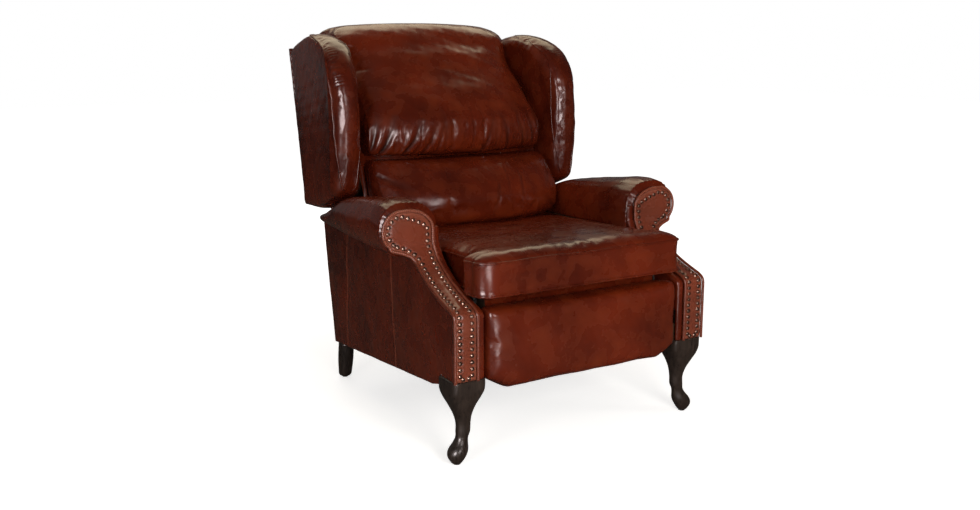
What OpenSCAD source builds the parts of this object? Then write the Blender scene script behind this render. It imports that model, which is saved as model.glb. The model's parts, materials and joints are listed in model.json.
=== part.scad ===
// Wingback recliner: rolled arms with nailed facings, two padded wings, a boxed seat
// cushion, a footrest on a scissor linkage and a back that tilts on the seat's side plates.
// X runs across the chair, Y from the front to the rear, Z up from the floor.

/* [Seat] */
// Clear width between the arms
seat_width = 600; // [580:5:640]
// Height of the cushion's front top edge above the floor
seat_height = 503; // [495:1:515]
// Thickness of the seat cushion at its front edge
cushion_thickness = 95.5; // [90:0.5:97]
// Depth of the seat cushion
cushion_depth = 574; // [562:1:578]
// Drop of the cushion's top from front to rear
seat_drop = 28; // [10:1:34]
// Rise of the cushion's crown above its top welt
cushion_crown = 14; // [6:1:22]

/* [Arms and base] */
// Height of the top of the arm roll
arm_height = 620; // [612:1:626]
// Width of an arm at its post
arm_thickness = 84; // [78:1:92]
// Radius of the arm roll at the scroll
roll_radius = 61; // [56:1:64]
// Distance from the post's face back to the scroll's face
scroll_setback = 217; // [205:1:225]
// Height of the post's vertical face
post_top = 384; // [376:1:390]
// Depth of the base, from the post's face to the arm's rear end
base_depth = 871; // [862:1:878]
// Amount that each side draws in towards the rear
rear_taper = 39; // [30:1:41]
// Thickness of the padded leather panels
panel_thickness = 6; // [4:0.5:7]
// Thickness of the padded front facing
facing_thickness = 12; // [10:0.5:14]
// Depth of one timber rail
rail_depth = 26; // [22:1:28]

/* [Legs] */
// Height of the front legs
front_leg_height = 215; // [205:1:220]
// Height of the rear legs
rear_leg_height = 113; // [108:1:113]
// Depth of the square block at the top of a front leg
leg_block_depth = 81; // [76:1:84]
// Radius of a front leg's pad foot
foot_radius = 25; // [21:0.5:29]
// Radius of a front leg's ankle
ankle_radius = 15.5; // [13:0.5:18]
// Radius of a rear leg
rear_leg_radius = 23; // [20:0.5:24]

/* [Back and wings] */
// Height of the head pillow's top at its middle
back_height = 1052; // [1046:1:1060]
// Lean of the outside back, as rise of depth over height
back_lean = 0.2004; // [0.19:0.002:0.21]
// Height of the seam between the two back pillows
pillow_seam = 674; // [668:1:680]
// Bulge of the back pillows at their middle
pillow_bulge = 92; // [80:1:96]
// Depth of a wing from its nose to its rear edge
wing_depth = 433; // [426:1:434]
// Height of a wing
wing_height = 513; // [505:1:516]
// Inset of the wing's outer face at its rear edge
wing_taper = 12; // [4:1:16]

/* [Footrest] */
// Width of the footrest pad
footrest_width = 570; // [550:2:574]
// Height of the footrest pad
footrest_height = 202; // [190:1:203]
// Thickness of the footrest pad at its edge
footrest_thickness = 44; // [38:1:44]
// Width of the cut at each lower corner of the pad
corner_cut = 57; // [40:1:70]

/* [Linkage] */
// Hole distance of the links near the side plate
short_link = 90; // [89:0.5:91]
// Hole distance of the outer links
long_link = 98; // [97:0.5:99]
// Half angle of the scissors when it is closed
closed_angle = 78; // [76:0.5:78.5]
// Half angle of the scissors when it is open
open_angle = 15; // [14:0.5:20]
// Upward tilt of the scissors' line
scissor_tilt = 4; // [3:0.5:5]
// Thickness of the steel links and plates
steel_thickness = 4; // [3:0.5:4.5]
// Radius of the link pins
pin_radius = 4; // [3.5:0.1:4.5]

/* [Trim] */
// Pitch of the decorative nails
nail_pitch = 16; // [14:0.5:20]
// Radius of a nail's head
nail_radius = 4.8; // [4:0.1:5.2]
// Radius of the welts
welt_radius = 4; // [3:0.2:4.6]

/* [Hidden] */
$fn = 40;

// Colours
leather = "#6b1f16";
dark_leather = "#43150f";
timber = "#c49a64";
leg_wood = "#241712";
steel = "#5c5f63";
antique_brass = "#6a5236";
cloth = "#3a3836";

// Clearances
seam_gap = 0.3;
soft_gap = 0.5;
running_gap = 0.1;
open_pivot_gap = 0.6;
overrun = 5;

// Places that follow from the driving sizes
inner_x = seat_width / 2;
outer_x = inner_x + arm_thickness;
seat_bottom = seat_height - cushion_thickness;

// Vector and curve helpers
function mix(a, b, t) = a + (b - a) * t;
function unit(v) = v / max(norm(v), epsilon);
epsilon = 0.000001;
function total(v) = v * [for (i = v) 1];
function centre_of(ring) = [for (k = [0:2]) total([for (p = ring) p[k]]) / len(ring)];
function spline(a, b, c, d, t) =
    (2 * b + (c - a) * t + (2 * a - 5 * b + 4 * c - d) * t * t + (3 * b - a - 3 * c + d) * t * t * t) / 2;
function smooth(p, steps) = concat(
    [for (i = [0:len(p) - 2]) for (k = [0:steps - 1])
        spline(p[max(i - 1, 0)], p[i], p[i + 1], p[min(i + 2, len(p) - 1)], k / steps)],
    [p[len(p) - 1]]);
function heading(path, i) = unit(path[min(i + 1, len(path) - 1)] - path[max(i - 1, 0)]);
function front_normal(path, i) = [-heading(path, i)[1], heading(path, i)[0]];
function offset_path(path, d) = [for (i = [0:len(path) - 1]) path[i] + d * front_normal(path, i)];
// Drops the points of a rising path that fold back over later ones
function lowest(path, first, axis) = min([for (k = [first:len(path) - 1]) path[k][axis]]);
function risen(path) = [for (i = [0:len(path) - 1])
    if (i == len(path) - 1
        || (lowest(path, i + 1, 0) > path[i][0] - seam_gap && lowest(path, i + 1, 1) > path[i][1]))
        path[i]];
function path_length(path) = total([for (i = [0:len(path) - 2]) norm(path[i + 1] - path[i])]);
function walk(path, d, i = 0) =
    let (step = norm(path[i + 1] - path[i]))
    (d <= step || i + 2 >= len(path)) ? [i, min(d / step, 1)] : walk(path, d - step, i + 1);
function spot(path, place) = mix(path[place[0]], path[place[0] + 1], place[1]);

// Solids from rings of points
function face_volume(points, face) = total([for (k = [1:len(face) - 2])
    points[face[0]] * cross(points[face[k]], points[face[k + 1]])]);
function reversed(face) = [for (k = [len(face) - 1:-1:0]) face[k]];
module solid_of(points, faces) {
    volume = total([for (face = faces) face_volume(points, face)]);
    polyhedron(points, volume > 0 ? [for (face = faces) reversed(face)] : faces);
}
// Skins a list of rings of equal length, with a fan of faces over each end
module skin(rings) {
    n = len(rings[0]);
    last = len(rings) - 1;
    first_hub = n * len(rings);
    walls = [for (i = [0:last - 1]) for (j = [0:n - 1]) each [
        [i * n + j, (i + 1) * n + j, (i + 1) * n + (j + 1) % n],
        [i * n + j, (i + 1) * n + (j + 1) % n, i * n + (j + 1) % n]]];
    ends = [for (j = [0:n - 1]) each [
        [(j + 1) % n, first_hub, j],
        [last * n + j, first_hub + 1, last * n + (j + 1) % n]]];
    hubs = [centre_of(rings[0]), centre_of(rings[last])];
    solid_of(concat([for (ring = rings) each ring], hubs), concat(walls, ends));
}
// A round tube along a path, with one reference direction square to the path at each point
module tube(path, refs, radius, sides) {
    last = len(path) - 1;
    skin([for (i = [0:last])
        let (along = unit(path[min(i + 1, last)] - path[max(i - 1, 0)]))
        let (across = unit(cross(along, refs[i])))
        let (upright = cross(across, along))
        [for (k = [0:sides - 1])
            path[i] + radius * (cos(360 * k / sides) * upright + sin(360 * k / sides) * across)]]);
}
// A sheet cut to an outline in Y and Z, standing between two X places
module side_sheet(outline, x_from, x_to) {
    translate([x_from, 0, 0])
        rotate([90, 0, 90])
            linear_extrude(x_to - x_from)
                polygon(outline);
}
// A square bar between two corners
module bar(low, high) {
    translate(low)
        cube(high - low);
}
// A cylinder along X at a place in Y and Z
module cross_pin(place, x_from, x_to, radius) {
    translate([x_from, place[0], place[1]])
        rotate([0, 90, 0])
            cylinder(h = x_to - x_from, r = radius);
}
module place() {
    translate([0, -depth_mid, 0])
        children();
}
module mirrored() {
    mirror([1, 0, 0])
        children();
}
module both_sides() {
    children();
    mirrored()
        children();
}

// Front curve of the arm in Y and Z: the post, the sweep up to the scroll and the scroll's face
scroll_inset = 10;
scroll_overhang = 24;
scroll_foot_drop = 29;
scroll_sink = 10.5;
scroll_radius = roll_radius - scroll_inset;
scroll_x = outer_x + scroll_overhang;
scroll_z = arm_height - roll_radius - scroll_sink;
scroll_foot = scroll_z - scroll_foot_drop;
sweep_shares = [[0, -0.9], [0, -0.35], [0, -0.12], [0.018, -0.037], [0.06, 0.012], [0.12, 0.052],
    [0.276, 0.136], [0.438, 0.238], [0.59, 0.356], [0.76, 0.525], [0.876, 0.68], [0.945, 0.82],
    [0.988, 0.94], [1, 1.1]];
sweep_steps = 3;
post_foot = front_leg_height + seam_gap;
sweep = smooth([for (s = sweep_shares)
    [s[0] * scroll_setback, max(post_foot, mix(post_top, scroll_foot, s[1]))]], sweep_steps);
front_curve = concat([[0, post_foot]],
    [for (p = sweep) if (p[1] > post_foot + overrun && p[1] < scroll_foot) [max(p[0], 0), p[1]]],
    [[scroll_setback, scroll_foot]]);
front_back = risen(offset_path(front_curve, -facing_thickness - seam_gap));
behind_front = [for (p = front_back) [p[1], p[0]]];
function behind_y(z) = lookup(z, behind_front);

// Rows of the facing: inner edge, outer edge and place on the front curve
head_angles = [for (a = [-42:12:78]) a];
head_low = scroll_z - scroll_radius;
shoulder_power_share = 3.4;
function shoulder(z) = pow(max(0, (z - head_low) / (2 * scroll_radius)), shoulder_power_share);
band_width = 23;
band_x = inner_x + band_width;
function head_inner(z) = max(band_x, mix(inner_x, scroll_x, shoulder(z)));
neck_drop = 25;
neck_rise = 30;
neck_shares = [[0, 0], [0.45, 0.12], [0.85, 0.55], [1, 0.93]];
function neck_out(z) =
    let (low = head_low - neck_drop)
    z < low ? 0 : lookup((z - low) / neck_rise, neck_shares);
row_gap = 2;
head_first = scroll_z + scroll_radius * sin(head_angles[0]);
function outer_edge(z) = z >= head_first
    ? scroll_x + sqrt(max(0, scroll_radius * scroll_radius - (z - scroll_z) * (z - scroll_z)))
    : mix(outer_x, scroll_x + scroll_radius * cos(head_angles[0]), neck_out(z));
rim_rows = concat(
    [for (p = front_curve) if (p[1] < head_first - row_gap) p],
    [for (a = head_angles) [scroll_setback, scroll_z + scroll_radius * sin(a)]]);
function facing_ring(i) =
    let (p = rim_rows[i])
    let (n = front_normal(rim_rows, i))
    let (low = head_inner(p[1]))
    let (high = max(outer_edge(p[1]), low + facing_edge))
    let (back = p - facing_thickness * n)
    let (edge = p - facing_edge * n)
    let (dome = p + facing_dome * n)
    [[low, back[0], back[1]], [low, edge[0], edge[1]],
        [low + facing_edge / 2, p[0], p[1]], [(low + high) / 2, dome[0], dome[1]],
        [high - facing_edge / 2, p[0], p[1]], [high, edge[0], edge[1]], [high, back[0], back[1]]];
facing_edge = 4;
facing_dome = 1;
module front_facing() {
    skin([for (i = [0:len(rim_rows) - 1]) facing_ring(i)]);
}

// Edge of the facing laid out flat, as X and run along the front curve: up the outer side,
// over the scroll and down the inner side
rim_last = len(rim_rows) - 1;
function run_to(i) = i == 0 ? 0 : path_length([for (k = [0:i]) rim_rows[k]]);
function facing_right(z) = max(outer_edge(z), head_inner(z) + facing_edge);
flat_edge = concat(
    [for (i = [0:rim_last]) [facing_right(rim_rows[i][1]), run_to(i)]],
    [for (i = [rim_last:-1:0]) [head_inner(rim_rows[i][1]), run_to(i)]]);
// Place on the facing, and its outward direction, for a point of the flat layout
function face_place(q) =
    let (p = spot(rim_rows, walk(rim_rows, max(q[1], 0))))
    [q[0], p[0], p[1]];
function face_normal(q) =
    let (at = walk(rim_rows, max(q[1], 0)))
    let (n = unit(mix(front_normal(rim_rows, at[0]), front_normal(rim_rows, at[0] + 1), at[1])))
    [0, n[0], n[1]];
welt_outset = 0.6;
welt_lift_share = 1.1;
module arm_welt() {
    flat = offset_path(flat_edge, -welt_outset);
    normals = [for (q = flat) face_normal(q)];
    lift = welt_radius * welt_lift_share;
    tube([for (i = [0:len(flat) - 1]) face_place(flat[i]) + lift * normals[i]], normals, welt_radius, 6);
}

// Decorative nails in one loop inside the welt, with a row across the foot of the post
nail_inset = 14;
nail_lift = 2 * seam_gap + facing_dome / 2;
nail_height = 3.2;
nail_tip_share = 0.55;
nail_foot = 9;
nail_line = [for (q = offset_path(flat_edge, nail_inset)) if (q[1] > nail_foot + overrun) q];
nail_corners = [[outer_x - nail_inset, nail_foot], [band_x + nail_inset, nail_foot]];
nail_loop = concat([nail_corners[0]], nail_line, [nail_corners[1], nail_corners[0]]);
module nails() {
    run = path_length(nail_loop);
    count = round(run / nail_pitch);
    for (k = [1:count])
        let (q = spot(nail_loop, walk(nail_loop, run * (k - 1 / 2) / count)))
        let (normal = face_normal(q))
        translate(face_place(q) + nail_lift * normal)
            rotate([atan2(-normal[1], normal[2]), 0, 0])
                cylinder(h = nail_height, r1 = nail_radius, r2 = nail_radius * nail_tip_share);
}

// Plan and side outlines of the arm
function side_x(y) = outer_x - rear_taper * y / base_depth;
under_depth = 66;
under_front = scroll_z - under_depth;
under_drop = 0.1;
function under_z(y) = under_front - under_drop * (y - scroll_setback) / (base_depth - scroll_setback);
function below_roll(y) = [y, under_z(y) - seam_gap];
apron_drop = 25;
apron_front = front_leg_height - apron_drop;
apron_rear = 114;
panel_start = 88;
panel_step = [42, -11];
rear_lean_y = 68;
panel_tip = 1;
panel_step_gap = 3;
function rear_y(z) =
    base_depth - rear_lean_y * (under_z(base_depth) - z) / (under_z(base_depth) - apron_rear);
front_side = [for (p = front_back) if (p[1] < under_front) p];
panel_low = [[facing_thickness, post_foot], [leg_block_depth + panel_step_gap, post_foot],
    [panel_start, apron_front],
    [panel_start, apron_front] + panel_step, [rear_y(apron_rear), apron_rear]];
panel_stations = concat(
    [for (i = [1:len(front_side) - 1]) if (front_side[i][0] > front_side[i - 1][0] + seam_gap) front_side[i]],
    [below_roll(scroll_setback + facing_thickness + seam_gap), below_roll(rear_y(apron_rear))]);
// The top line with a point over each corner of the lower edge
panel_line = concat(
    [for (i = [0:len(panel_stations) - 2]) each concat([panel_stations[i]],
        [for (corner = panel_low)
            if (corner[0] > panel_stations[i][0] + running_gap
                && corner[0] < panel_stations[i + 1][0] - running_gap)
                [corner[0], lookup(corner[0], panel_stations)]])],
    [panel_stations[len(panel_stations) - 1]]);
module outside_arm() {
    first = front_side[1][0];
    stations = concat(
        [[first, post_foot, front_side[1][1]]],
        [for (p = panel_line) if (p[0] > first + seam_gap) [p[0], lookup(p[0], panel_low), p[1]]],
        [[base_depth, under_z(base_depth) - panel_tip, under_z(base_depth) - seam_gap]]);
    skin([for (s = stations) [
        [side_x(s[0]), s[0], s[1]], [side_x(s[0]), s[0], s[2]],
        [side_x(s[0]) - panel_thickness, s[0], s[2]], [side_x(s[0]) - panel_thickness, s[0], s[1]]]]);
}
inside_low = 300;
sheet_setback = 8;
inside_front = [for (p = risen(offset_path(front_curve, -sheet_setback))) if (p[1] < under_front) p];
inside_outline = concat(
    [[sheet_setback, inside_low], [rear_y(inside_low) - panel_thickness - seam_gap, inside_low],
        below_roll(base_depth - panel_thickness - seam_gap), below_roll(scroll_setback + facing_thickness)],
    [for (p = reversed(inside_front)) if (p[1] > inside_low) p]);
// Rounded band at the front of the inside arm: share of the band's width, depth behind the face
band_section = [[0, 12], [0, 8], [0.1, 4], [0.3, 1.4], [0.5, 1], [0.72, 1.6], [0.92, 3.6], [0.985, 6],
    [0.985, 12]];
band_top = scroll_z + scroll_inset;
module inside_arm() {
    side_sheet(inside_outline, inner_x, inner_x + panel_thickness);
    skin([for (i = [0:rim_last]) if (rim_rows[i][1] < band_top)
        let (n = front_normal(rim_rows, i))
        [for (b = band_section)
            let (p = rim_rows[i] - b[1] * n)
            [inner_x + band_width * b[0], p[0], p[1]]]]);
}
module arm_end() {
    low = [apron_rear, under_z(base_depth)];
    skin([for (back = [0, panel_thickness]) [
        for (c = [[inner_x, 0], [1, 0], [1, 1], [inner_x, 1]])
            let (z = low[c[1]])
            let (y = rear_y(z) - back)
            [c[0] == 1 ? side_x(base_depth) - panel_thickness - soft_gap : c[0], y, z]]]);
}

// Roll of the arm: section shares across and up, and its stations from the scroll to the rear
roll_side_shares = [[0, 0], [0, 0.3], [0.01, 0.5], [0.05, 0.68], [0.13, 0.83], [0.26, 0.94], [0.42, 0.99]];
roll_round = [for (a = [90:-15:-90]) a];
roll_centre_share = 0.64;
roll_neck_share = 0.48;
// Station: depth, top below the arm's height, outer edge beyond the side panel
roll_table = [
    [scroll_setback + facing_thickness + seam_gap, 0, 91], [309, -2, 88], [449, 17, 82], [530, 27, 76],
    [575, 34, 71], [612, 44, 66], [652, 60, 60], [700, 78, 53], [750, 96, 45], [800, 110, 34],
    [840, 118, 24], [base_depth - seam_gap, 124, 6]];
roll_steps = 2;
function roll_ring(s) =
    let (low = under_z(s[0]))
    let (wide = side_x(s[0]) + s[2] - inner_x)
    let (tall = arm_height - s[1] - low)
    let (y = s[0])
    concat(
        [for (c = roll_side_shares) [inner_x + wide * c[0], y, low + tall * c[1]]],
        [for (a = roll_round) [
            inner_x + wide * (roll_centre_share + (1 - roll_centre_share) * cos(a)), y,
            low + tall * (1 + sin(a)) / 2]],
        [[inner_x + wide * roll_neck_share, y, low]]);
module arm_roll() {
    skin([for (s = smooth(roll_table, roll_steps)) roll_ring(s)]);
}

// Timber of the base
frame_gap = 2;
frame_x = inner_x + panel_thickness + frame_gap;
frame_thickness = 28;
frame_clear = 4;
block_rise = 46;
frame_bottom_front = front_leg_height + block_rise + 2 * seam_gap;
rear_block_top = rear_leg_height + block_rise;
rear_leg_setback = 88;
rear_leg_y = base_depth - rear_leg_setback;
rear_leg_rake = 16;
rear_leg_inset = 18;
rear_leg_x = inner_x + rear_leg_inset;
block_half = 21;
arm_frame_outline = concat(
    [[facing_thickness + frame_clear, frame_bottom_front], [leg_block_depth + frame_clear, frame_bottom_front],
        [leg_block_depth + 4 * frame_clear, apron_front + frame_clear],
        [rear_leg_y - block_half - frame_clear, apron_rear + 6 * frame_clear],
        [rear_leg_y - block_half - frame_clear, rear_block_top + seam_gap],
        [rear_y(rear_block_top) - panel_thickness - frame_clear, rear_block_top + seam_gap],
        below_roll(base_depth - 4 * frame_clear), below_roll(scroll_setback + facing_thickness + frame_clear)],
    [for (p = reversed(risen(offset_path(front_side, -frame_clear))))
        if (p[1] > frame_bottom_front + frame_clear && p[1] < under_front - frame_clear) p]);
module arm_frame() {
    side_sheet(arm_frame_outline, frame_x, frame_x + frame_thickness);
}
bolt_radius = 5;
leg_x = inner_x + arm_thickness / 2;
leg_y = leg_block_depth / 2;
leg_bolt_reach = 40;
washer_radius = 11;
washer_thickness = 2;
module bolt_hole(x, y, z_from, z_to) {
    translate([x, y, z_from])
        cylinder(h = z_to - z_from, r = bolt_radius + running_gap);
}
front_block_low = [frame_x - 2 * frame_clear, facing_thickness + frame_clear, front_leg_height + seam_gap];
front_block_high =
    [outer_x - 2 * panel_thickness, leg_block_depth - frame_clear, frame_bottom_front - seam_gap];
rear_block_low = [rear_leg_x - block_half + frame_clear, rear_leg_y - block_half, rear_leg_height + seam_gap];
rear_block_high = [rear_leg_x + block_half, rear_leg_y + block_half - 2 * frame_clear, rear_block_top];
module corner_block_pair() {
    difference() {
        bar(front_block_low, front_block_high);
        bolt_hole(leg_x, leg_y, front_leg_height, frame_bottom_front + overrun);
    }
    difference() {
        bar(rear_block_low, rear_block_high);
        bolt_hole(rear_leg_x, rear_leg_y, rear_leg_height, rear_block_top + overrun);
    }
}
module leg_bolt(x, y, joint_z, top_z) {
    translate([x, y, joint_z - leg_bolt_reach])
        cylinder(h = leg_bolt_reach + top_z - joint_z, r = bolt_radius);
}
module leg_bolt_pair() {
    leg_bolt(leg_x, leg_y, front_leg_height, frame_bottom_front - seam_gap);
    leg_bolt(rear_leg_x, rear_leg_y, rear_leg_height, rear_block_top - seam_gap);
}

// Front leg: height share, half-width share of the block, radius, squareness, outward shift share
glide_height = 4;
leg_table = [
    [1, 1, 0, 1, 0], [0.93, 1, 0, 1, 0], [0.86, 0.99, 0, 0.92, 0.02], [0.78, 0.9, 0, 0.7, 0.05],
    [0.68, 0.72, 0, 0.4, 0.04], [0.57, 0.53, 0, 0.15, -0.02], [0.46, 0.43, 0, 0, -0.06],
    [0.36, 0.16, 0.72, 0, -0.04], [0.29, 0, 1.02, 0, 0.04], [0.23, 0, 1.2, 0, 0.14],
    [0.17, 0, 1.52, 0, 0.27], [0.12, 0, 1.6, 0, 0.36], [0.07, 0, 1.42, 0, 0.42], [0.03, 0, 1.1, 0, 0.43],
    [0, 0, 0.8, 0, 0.43]];
leg_sides = 20;
leg_steps = 2;
foot_swell_share = 1.6;
foot_shift_share = 0.43;
square_share = 1.36;
block_rim = 2;
leg_half = arm_thickness / 2 + block_rim;
foot_share = foot_radius / (foot_swell_share * ankle_radius);
function leg_radius_at(s, half) =
    half * s[1] + ankle_radius * s[2] * mix(1, foot_share, max(0, s[4]) / foot_shift_share);
function leg_ring(s) =
    let (z = mix(glide_height, front_leg_height, s[0]))
    let (rx = leg_radius_at(s, leg_half))
    let (ry = leg_radius_at(s, leg_block_depth / 2))
    [for (k = [0:leg_sides - 1])
        let (a = 360 * (k + 1 / 2) / leg_sides)
        let (square = 1 / max(abs(cos(a)), abs(sin(a))))
        let (reach = mix(1, min(square, square_share), s[3]))
        [leg_x + s[4] * arm_thickness / 2 + rx * reach * cos(a),
            leg_y - s[4] * leg_block_depth / 8 + ry * reach * sin(a), z]];
module front_leg() {
    difference() {
        skin([for (s = smooth(leg_table, leg_steps)) leg_ring(s)]);
        bolt_hole(leg_x, leg_y, front_leg_height - leg_bolt_reach - seam_gap, front_leg_height + overrun);
    }
}
// Rear leg: height share, radius share; it leans to the rear towards its foot
rear_leg_table = [[1, 1], [0.5, 1], [0.07, 0.82], [0.02, 0.74], [0, 0.62]];
module rear_leg() {
    difference() {
        skin([for (s = rear_leg_table)
            [for (k = [0:leg_sides - 1])
                let (a = 360 * k / leg_sides)
                [rear_leg_x + rear_leg_radius * s[1] * cos(a),
                    rear_leg_y + rear_leg_rake * (1 - s[0]) + rear_leg_radius * s[1] * sin(a),
                    mix(glide_height, rear_leg_height, s[0])]]]);
        bolt_hole(rear_leg_x, rear_leg_y, rear_leg_height - leg_bolt_reach - seam_gap,
            rear_leg_height + overrun);
    }
}
front_foot_x = leg_x + foot_shift_share * arm_thickness / 2;
front_foot_y = leg_y - foot_shift_share * leg_block_depth / 8;
glide_radius = 9;
module glide_pair() {
    translate([front_foot_x, front_foot_y, 0])
        cylinder(h = glide_height, r = glide_radius);
    translate([rear_leg_x, rear_leg_y + rear_leg_rake, 0])
        cylinder(h = glide_height, r = glide_radius);
}

stretcher_y = 190;
stretcher_low = 190;
stretcher_tall = 46;
cross_half = frame_x - seam_gap;
module front_stretcher() {
    color(timber)
        place()
            bar([-cross_half, stretcher_y, stretcher_low],
                [cross_half, stretcher_y + rail_depth, stretcher_low + stretcher_tall]);
}
rear_rail_setback = 123;
rear_rail_y = base_depth - rear_rail_setback;
rear_rail_low = 150;
rear_rail_tall = 56;
module rear_rail() {
    color(timber)
        place()
            bar([-cross_half, rear_rail_y - rail_depth, rear_rail_low],
                [cross_half, rear_rail_y, rear_rail_low + rear_rail_tall]);
}
rear_panel_top = 290;
module base_rear_panel() {
    half = inner_x - soft_gap;
    color(leather)
        place()
            skin([for (back = [0, panel_thickness]) [
                for (c = [[-1, apron_rear], [1, apron_rear], [1, rear_panel_top], [-1, rear_panel_top]])
                    [c[0] * half, rear_y(c[1]) - back, c[1]]]]);
}

// Layers of the mechanism across the chair, from the arm inwards
layer_gap = 3;
plate_gap = 12;
rail_gap = 5;
plate_x = inner_x - plate_gap;
drive_x = plate_x - layer_gap - steel_thickness;
cross_x = drive_x - layer_gap - steel_thickness;
bracket_x = cross_x - layer_gap - steel_thickness;
rail_x = bracket_x - rail_gap;
rail_width = 37;

// Scissor linkage in Y and Z, from its fixed pivot on the side plate
pivot_drop = 26.5;
pivot_rest = [131, seat_bottom - pivot_drop];
forward = [-cos(scissor_tilt), sin(scissor_tilt)];
upward = [sin(scissor_tilt), cos(scissor_tilt)];
function scissor(along, down) = pivot_rest + along * forward - down * upward;
first_cross = scissor(short_link * cos(closed_angle), short_link * sin(closed_angle));
tail_rest = scissor(0, 2 * short_link * sin(closed_angle));
tail_open = scissor(0, 2 * short_link * sin(open_angle));
low_joint = first_cross + long_link * (cos(closed_angle) * forward - sin(closed_angle) * upward);
high_joint = first_cross + long_link * (cos(closed_angle) * forward + sin(closed_angle) * upward);
end_joint = first_cross + 2 * long_link * cos(closed_angle) * forward;
tube_joint = (first_cross + low_joint) / 2;
link_half = 9;
link_waist = 7.5;
washer_gap = 0.3;
pin_root = steel_thickness / 2;
pin_shoulder = 3;

module link_body(from, to, x_from) {
    span = to - from;
    translate([x_from, from[0], from[1]])
        rotate([atan2(span[1], span[0]), 0, 0]) {
            cross_pin([0, 0], 0, steel_thickness, link_half);
            cross_pin([norm(span), 0], 0, steel_thickness, link_half);
            translate([0, 0, -link_waist])
                cube([steel_thickness, norm(span), 2 * link_waist]);
        }
}
module pin_hole(place, x_from, gap) {
    cross_pin(place, x_from - overrun, x_from + steel_thickness + overrun, pin_radius + gap);
}
// A pin that reaches past the next layer, with its shoulder in the gap between the layers
module stub(place, x_from, x_to, shoulder_from, shoulder_to) {
    cross_pin(place, x_from, x_to, pin_radius);
    cross_pin(place, shoulder_from, shoulder_to, pin_radius + pin_shoulder);
}
module drive_link() {
    difference() {
        link_body(pivot_rest, low_joint, drive_x);
        pin_hole(tube_joint, drive_x, running_gap);
    }
    stub(pivot_rest, drive_x + pin_root, plate_x + steel_thickness, drive_x + pin_root, plate_x - washer_gap);
    for (joint = [first_cross, low_joint])
        stub(joint, cross_x, drive_x + pin_root, cross_x + steel_thickness + washer_gap, drive_x + pin_root);
}
module cross_link() {
    difference() {
        link_body(tail_rest, high_joint, cross_x);
        pin_hole(first_cross, cross_x, running_gap);
    }
    stub(tail_rest, cross_x + pin_root, plate_x + steel_thickness, cross_x + pin_root, plate_x - washer_gap);
    stub(high_joint, cross_x + pin_root, drive_x + steel_thickness, cross_x + pin_root, drive_x - washer_gap);
}
module front_link() {
    difference() {
        link_body(low_joint, end_joint, cross_x);
        pin_hole(low_joint, cross_x, running_gap);
        pin_hole(end_joint, cross_x, open_pivot_gap);
    }
}
module upper_link() {
    difference() {
        link_body(high_joint, end_joint, drive_x);
        pin_hole(high_joint, drive_x, running_gap);
    }
    stub(end_joint, bracket_x, drive_x + pin_root, cross_x + steel_thickness + washer_gap, drive_x + pin_root);
}
module drive_links() {
    color(steel)
        place()
            both_sides()
                drive_link();
}
tube_outer = 7;
module torque_tube() {
    color(steel)
        place() {
            cross_pin(tube_joint, -drive_x + washer_gap, drive_x - washer_gap, tube_outer);
            cross_pin(tube_joint, -drive_x - steel_thickness, drive_x + steel_thickness, pin_radius);
        }
}
module cross_links() {
    color(steel)
        place()
            both_sides()
                cross_link();
}
module front_links() {
    color(steel)
        place()
            both_sides()
                front_link();
}
module upper_links() {
    color(steel)
        place()
            both_sides()
                upper_link();
}

// Side plate with the pivots, the tail pin's slot and the bar that slides in the runner
recline_drop = 107.5;
recline_pivot = [770, seat_bottom - recline_drop];
plate_drop = 8;
plate_top = seat_bottom - plate_drop;
plate_depth = 167.5;
plate_low = seat_bottom - plate_depth;
bolt_drop = 35.5;
bolt_depths = [200, 560];
bolt_places = [for (y = bolt_depths) [y, seat_bottom - bolt_drop]];
slide_drop = 142.5;
slide_height = seat_bottom - slide_drop;
slide_half = 8.5;
slide_from = 200;
slide_to = 640;
runner_wall = 3;
runner_gap = 0.5;
runner_spare = 30;
// Corners of the plate, each as an anchor and an offset from it
plate_anchors = [[pivot_rest[0], plate_top], tail_rest, [tail_rest[0], plate_low],
    [recline_pivot[0], plate_low], recline_pivot, [recline_pivot[0], plate_top]];
plate_corners = [[0, -33, -18], [1, -19, -16], [1, 18, -16], [2, 58, 0], [3, 22, 0], [3, 38, 22],
    [4, 38, 14], [4, 16, 32], [5, -40, -12], [0, 60, 0], [0, -20, 0]];
plate_outline = [for (c = plate_corners) plate_anchors[c[0]] + [c[1], c[2]]];
recline_pin_radius = 6;
module side_plate() {
    slot_line = tail_open - tail_rest;
    slot_half = pin_radius + open_pivot_gap - running_gap;
    difference() {
        side_sheet(plate_outline, plate_x, plate_x + steel_thickness);
        pin_hole(pivot_rest, plate_x, running_gap);
        cross_pin(recline_pivot, plate_x - overrun, plate_x + steel_thickness + overrun,
            recline_pin_radius + running_gap);
        pin_hole(tail_rest, plate_x, open_pivot_gap);
        pin_hole(tail_open, plate_x, open_pivot_gap);
        translate([plate_x - overrun, tail_rest[0], tail_rest[1]])
            rotate([atan2(slot_line[1], slot_line[0]), 0, 0])
                translate([0, 0, -slot_half])
                    cube([steel_thickness + 2 * overrun, norm(slot_line), 2 * slot_half]);
        for (p = bolt_places)
            cross_pin(p, plate_x - overrun, plate_x + steel_thickness + overrun, bolt_radius + running_gap);
    }
    bar([plate_x + steel_thickness, slide_from, slide_height - slide_half],
        [frame_x - runner_wall - runner_gap, slide_to, slide_height + slide_half]);
}
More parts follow.
